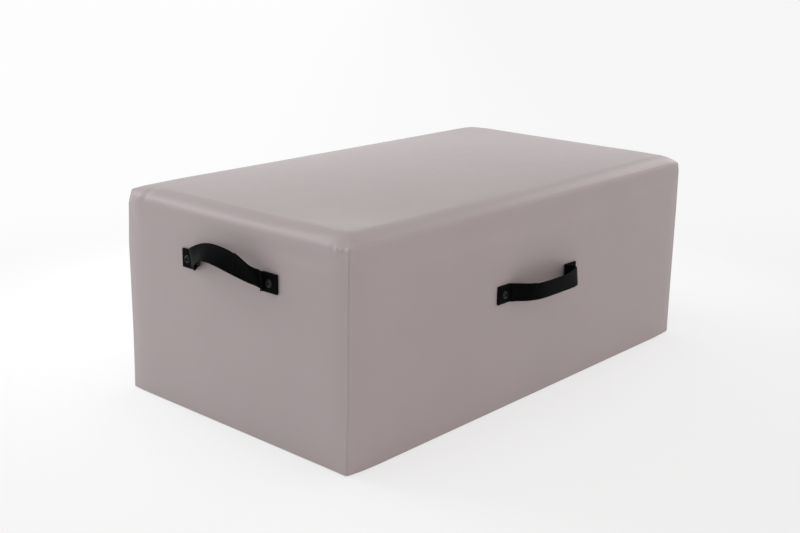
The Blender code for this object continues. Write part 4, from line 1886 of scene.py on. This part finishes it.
@dataclass
class BaseSheet:
    """The non-slip sheet stapled over the underside."""

    finish: NonSlipFinish
    staple_finish: SteelFinish
    length: float = 0.696
    width: float = 0.383
    corner: float = 0.010
    bottom: float = 0.0002
    thickness: float = 0.0006
    staple_inset: float = 0.007
    staple_pitch: float = 0.032
    staple_margin: float = 0.012
    staple_height: float = 0.00036
    cuts: int = 60
    dimple: float = 0.0004
    dimple_reach: float = 0.009

    def staple_places(self) -> list[Triple]:
        """Where the staples stand along and across the box, and their turn: a row by each edge.

        Returns:
            The place along, the place across and the turn of each.
        """
        places = []
        half_x = self.length / 2 - self.staple_inset
        half_y = self.width / 2 - self.staple_inset
        for row, half, drift, slip in ((Axis.X, half_x, 2.3, 1.7), (Axis.Y, half_y, 1.9, 2.9)):
            count = int(2 * (half - self.staple_margin) / self.staple_pitch)
            for step in range(count + 1):
                for side in (-1, 1):
                    along = (step / count - 0.5) * 2 * (half - self.staple_margin)
                    along += 0.002 * math.sin(step * slip + side)
                    slant = row.value * math.pi / 2 + 0.16 * math.sin(step * drift + side)
                    x, y = (along, side * half_y) if row is Axis.X else (side * half_x, along)
                    places.append((x, y, slant))
        return places

    def build(self) -> list[bpy.types.Object]:
        """Builds the sheet and its staples.

        Returns:
            The two pieces.
        """
        clear_selection()
        bpy.ops.mesh.primitive_plane_add(size=1.0, location=(0, 0, self.bottom))
        sheet = named("non_slip_sheet")
        sheet.scale = (self.length, self.width, 1)
        settle(sheet)
        with editing(sheet, "VERT"):
            bpy.ops.mesh.select_all(action="SELECT")
            bpy.ops.mesh.bevel(offset=self.corner, segments=6, affect="VERTICES")
        with editing(sheet, "FACE"):
            for step in range(1, self.cuts):
                for size, normal in ((self.length, (1, 0, 0)), (self.width, (0, 1, 0))):
                    cut = (step / self.cuts - 0.5) * size
                    bpy.ops.mesh.select_all(action="SELECT")
                    bpy.ops.mesh.bisect(plane_co=tuple(cut * part for part in normal), plane_no=normal)
        points = read_points(sheet)
        places = self.staple_places()
        for x, y, slant in places:
            away = ((points[:, 0] - x) / self.dimple_reach) ** 2
            away += ((points[:, 1] - y) / self.dimple_reach) ** 2
            points[:, 2] = np.maximum(points[:, 2], self.bottom + self.dimple * np.exp(-away))
        write_points(sheet, points)
        thicken(sheet, self.thickness, 1)
        outward(sheet)
        smooth(sheet, 40)
        dress(sheet, self.finish.material())
        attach(sheet, Body.BOX.value)
        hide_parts("non_slip_base")
        master = Staple().master()
        staples = join("base_staples", [
            copy_of(master, "staple", Matrix.Translation((x, y, self.staple_height))
                    @ Matrix.Rotation(slant, 4, "Z")) for x, y, slant in places])
        bpy.data.objects.remove(master)
        outward(staples)
        smooth(staples, 60)
        dress(staples, self.staple_finish.material())
        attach(staples, Body.BOX.value)
        LOG.info("base: %d staples", len(places))
        return [sheet, staples]


# Foam and carcass


@dataclass
class FoamPad:
    """A foam piece that keeps its packed form, with the unevenness of cut foam."""

    node: str
    skin: Skin
    finish: bpy.types.Material
    uneven: float = 0.00015
    drawn_in: float = 0.0042
    corner_reach: float = 0.020
    face_depth: float = 0.030
    top_foot: float = 0.262
    top_reach: float = 0.060

    def build(self) -> bpy.types.Object:
        """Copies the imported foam, merges it and roughens its faces.

        Returns:
            The foam.
        """
        pad = copy_of(frame["nodes"][self.node], f"{self.node}_cut", Matrix.Identity(4))
        for key in list(pad.keys()):
            del pad[key]
        pad.parent = None
        with editing(pad, "VERT"):
            bpy.ops.mesh.select_all(action="SELECT")
            bpy.ops.mesh.remove_doubles(threshold=0.00002)
            bpy.ops.mesh.tris_convert_to_quads()
            bpy.ops.mesh.select_all(action="SELECT")
            bpy.ops.mesh.subdivide(number_cuts=2)
        points = read_points(pad)
        x, y, z = points.T
        swell = np.sin(x * 71) * np.sin(y * 83 + 1.3) * np.sin(z * 97 + 0.4)
        points += read_normals(pad) * (swell * self.uneven)[:, None]
        halves = (self.skin.length / 2, self.skin.width / 2)
        for axis, other in ((0, 1), (1, 0)):
            corner = np.exp(-((halves[other] - np.abs(points[:, other])) / self.corner_reach) ** 2)
            outer = ramp(np.abs(points[:, axis]) - halves[axis], -self.face_depth, self.face_depth)
            points[:, axis] -= np.sign(points[:, axis]) * self.drawn_in * corner * outer
        away = sum((halves[axis] - np.abs(points[:, axis])) ** 2 for axis in (0, 1))
        fall = self.drawn_in * np.exp(-away / self.top_reach ** 2)
        points[:, 2] -= np.where(points[:, 2] > self.top_foot, fall, 0.0)
        points[:, 2] -= 1.5 * self.skin.end_fall(points)
        write_points(pad, points)
        smooth(pad, 35)
        dress(pad, self.finish)
        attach(pad, Body.BOX.value)
        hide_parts(self.node)
        return pad


@dataclass
class Carcass:
    """The plywood box, its battens and the nuts in it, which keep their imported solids."""

    zinc: SteelFinish
    panels: dict[str, tuple[Axis, Axis]] = field(default_factory=lambda: {
        "deck_panel": (Axis.Z, Axis.X),
        "side_panel_front": (Axis.Y, Axis.X), "side_panel_back": (Axis.Y, Axis.X),
        "end_panel_left": (Axis.X, Axis.Y), "end_panel_right": (Axis.X, Axis.Y),
        "cross_rib_left": (Axis.X, Axis.Y), "cross_rib_right": (Axis.X, Axis.Y)})
    battens: dict[str, Axis] = field(default_factory=lambda: {
        "bottom_rail_front": Axis.X, "bottom_rail_back": Axis.X,
        "bottom_rail_left": Axis.Y, "bottom_rail_right": Axis.Y,
        "corner_block_front_left": Axis.Z, "corner_block_front_right": Axis.Z,
        "corner_block_back_left": Axis.Z, "corner_block_back_right": Axis.Z})

    def build(self) -> None:
        """Gives every carcass node its finish."""
        made = {}
        finishes = {node: PlywoodFinish(*axes) for node, axes in self.panels.items()}
        finishes |= {node: PineFinish(along) for node, along in self.battens.items()}
        for node, finish in finishes.items():
            made[finish] = made.get(finish) or finish.material()
            dress(frame["nodes"][node], made[finish])
        nut = self.zinc.material()
        for node, item in frame["nodes"].items():
            if "_tee_nut_" in node:
                dress(item, nut)
        LOG.info("carcass: %d finishes", len(made) + 1)


# Studio


@dataclass(frozen=True)
class Softbox:
    """A square soft light, with the way to it from the box, its distance and its side length.

    Its level is its radiance, where 1 is the level of a white surround. Matt and gloss say which
    reflections see it.
    """

    name: str
    towards: Triple
    reach: float
    size: float
    level: float
    matt: bool = True
    gloss: bool = True

    def hang(self) -> bpy.types.Object:
        """Hangs the light so that it looks at the box.

        Returns:
            The light.
        """
        way = Vector(self.towards).normalized()
        clear_selection()
        bpy.ops.object.light_add(type="AREA", location=way * self.reach + Vector((0, 0, 0.25)))
        light = bpy.context.object
        light.name = self.name
        light.data.shape = "SQUARE"
        light.data.size = self.size
        light.data.energy = self.level * math.pi * self.size * self.size
        light.rotation_euler = way.to_track_quat("Z", "Y").to_euler()
        light.visible_diffuse = self.matt
        light.visible_glossy = self.gloss
        return light


@dataclass
class Studio:
    """The pale floor, the soft lights and the camera at the photograph's angle."""

    floor: FloorFinish
    lights: tuple[Softbox, ...] = (
        Softbox("back_softbox", (-0.30, 0.88, 0.38), 2.1, 1.2, 5.5, gloss=False),
        Softbox("end_gleam", (-0.500, 0.652, 0.570), 2.35, 0.7, 4.9, matt=False),
        Softbox("side_softbox", (0.91, -0.05, 0.42), 2.4, 0.9, 2.9))
    surround: tuple[Pair, ...] = ((0.0, 1.36), (0.30, 1.36), (0.50, 0.48), (0.80, 0.76), (1.0, 1.9))
    warm: Triple = (1.13, 1.02, 0.99)
    warm_side: Triple = (0.25, -0.95, 0.0)
    floor_size: float = 44.0
    eye: Triple = (-1.2667525, -1.0869911, 0.6145220)
    ahead: Triple = (0.7177780, 0.6397680, -0.2747574)
    right: Triple = (0.6682843, -0.7437749, 0.0139627)
    up: Triple = (0.1954248, 0.1936382, 0.9614122)
    lens: float = 54.13

    def build(self) -> None:
        """Sets up the stage, the lights and the camera."""
        self.lay_floor()
        for light in self.lights:
            light.hang()
        self.fill()
        self.set_camera()

    def lay_floor(self) -> None:
        """Lays the floor, a plane cut finer under the box."""
        clear_selection()
        bpy.ops.mesh.primitive_plane_add(size=self.floor_size, location=(0, 0, 0))
        floor = named("studio_floor")
        with editing(floor, "FACE"):
            bpy.ops.mesh.select_all(action="SELECT")
            bpy.ops.mesh.subdivide(number_cuts=3)
        ahead = Vector((self.ahead[0], self.ahead[1], 0)).normalized()
        right = Vector((self.right[0], self.right[1], 0)).normalized()
        dress(floor, self.floor.material(right, ahead))

    def fill(self) -> None:
        """The white surround: bright at the horizon and overhead, softer between them."""
        world = bpy.data.worlds.new("surround")
        nodes = Nodes(world)
        way = nodes.node("ShaderNodeTexCoord").outputs["Generated"]
        shade = nodes.node("ShaderNodeValToRGB")
        shade.color_ramp.interpolation = "EASE"
        top = max(level for sine, level in self.surround)
        while len(shade.color_ramp.elements) < len(self.surround):
            shade.color_ramp.elements.new(0.5)
        for element, (sine, level) in zip(shade.color_ramp.elements, self.surround):
            element.position = sine
            element.color = (level / top, level / top, level / top, 1.0)
        nodes.join(nodes.axes(way)["Z"], shade.inputs["Fac"])
        facing = nodes.pattern("ShaderNodeVectorMath", way, operation="DOT_PRODUCT")
        facing.inputs[1].default_value = self.warm_side
        tint = nodes.mix(facing.outputs["Value"], shade.outputs["Color"], self.warm, "MULTIPLY")
        background = nodes.tree.nodes["Background"].inputs
        nodes.join(tint, background["Color"])
        background["Strength"].default_value = top
        bpy.context.scene.world = world

    def set_camera(self) -> None:
        """Sets the camera at the photograph's place and angle."""
        clear_selection()
        bpy.ops.object.camera_add(location=self.eye)
        camera = bpy.context.object
        camera.name = "photo_camera"
        back = Vector(self.ahead) * -1
        turn = Matrix((Vector(self.right), Vector(self.up), back)).transposed()
        camera.rotation_euler = turn.to_euler()
        camera.data.sensor_width = 36.0
        camera.data.lens = self.lens
        camera.data.clip_end = 100.0
        bpy.context.scene.camera = camera
        bpy.context.scene.view_settings.view_transform = "Standard"


def main() -> None:
    """Builds the sitting box in order."""
    logging.basicConfig(level=logging.INFO, format="%(name)s: %(message)s")
    webbing = WebbingFinish().material()
    thread = ThreadFinish().material()
    black = SteelFinish("black_oxide_steel", (0.004, 0.004, 0.0044), (0.014, 0.014, 0.015),
                        roughness=0.40, metallic=0.0, gloss=0.2)
    zinc = SteelFinish("zinc_plated_steel", (0.60, 0.60, 0.58), (0.72, 0.72, 0.70),
                       roughness=0.34, metallic=1.0)
    screw = ButtonScrew().master(black.material())
    stitch = Stitch().master()
    left = StrapForm(Leg(2.30, 0.009, 0.0796, -0.80, 3.19),
                     Leg(1.93, -0.0023, 0.0621, -0.342, 1.0, slack=0.012, hitch=0.005),
                     bow=0.0286, lift=0.0278, tilt=0.70)
    right = StrapForm(Leg(tilt=-0.1), Leg(tilt=-0.1), lift=-0.0015, tilt=-0.14)
    front = StrapForm(Leg(3.02, 0.009, 0.068, 0.324), Leg(2.84, -0.0101, 0.068, -0.267),
                      bow=0.0272, lift=0.0006, tilt=-0.156)
    handles = [CarryHandle(name, grip, Vector(place), turn, form, webbing, thread, screw, stitch)
               for name, grip, place, turn, form in (
                   ("left_end_handle", Body.LEFT_GRIP, (-0.362, -0.005, 0.208), math.pi / 2, left),
                   ("right_end_handle", Body.RIGHT_GRIP, (0.362, -0.005, 0.208), -math.pi / 2, right),
                   ("front_handle", Body.FRONT_GRIP, (-0.005, -0.2055, 0.159), math.pi, front))]
    skin = Skin()
    Cover(skin, VinylFinish(), [tab for handle in handles for tab in handle.tab_places()]).build()
    for handle in handles:
        handle.build()
    for master in (screw, stitch):
        bpy.data.objects.remove(master)
    BaseSheet(NonSlipFinish(), zinc).build()
    foam = FoamFinish().material()
    for node in ("top_foam", "side_foam_front", "side_foam_back", "end_foam_left", "end_foam_right"):
        FoamPad(node, skin, foam).build()
    Carcass(zinc).build()
    Studio(FloorFinish()).build()


if __name__ == "__main__":
    main()
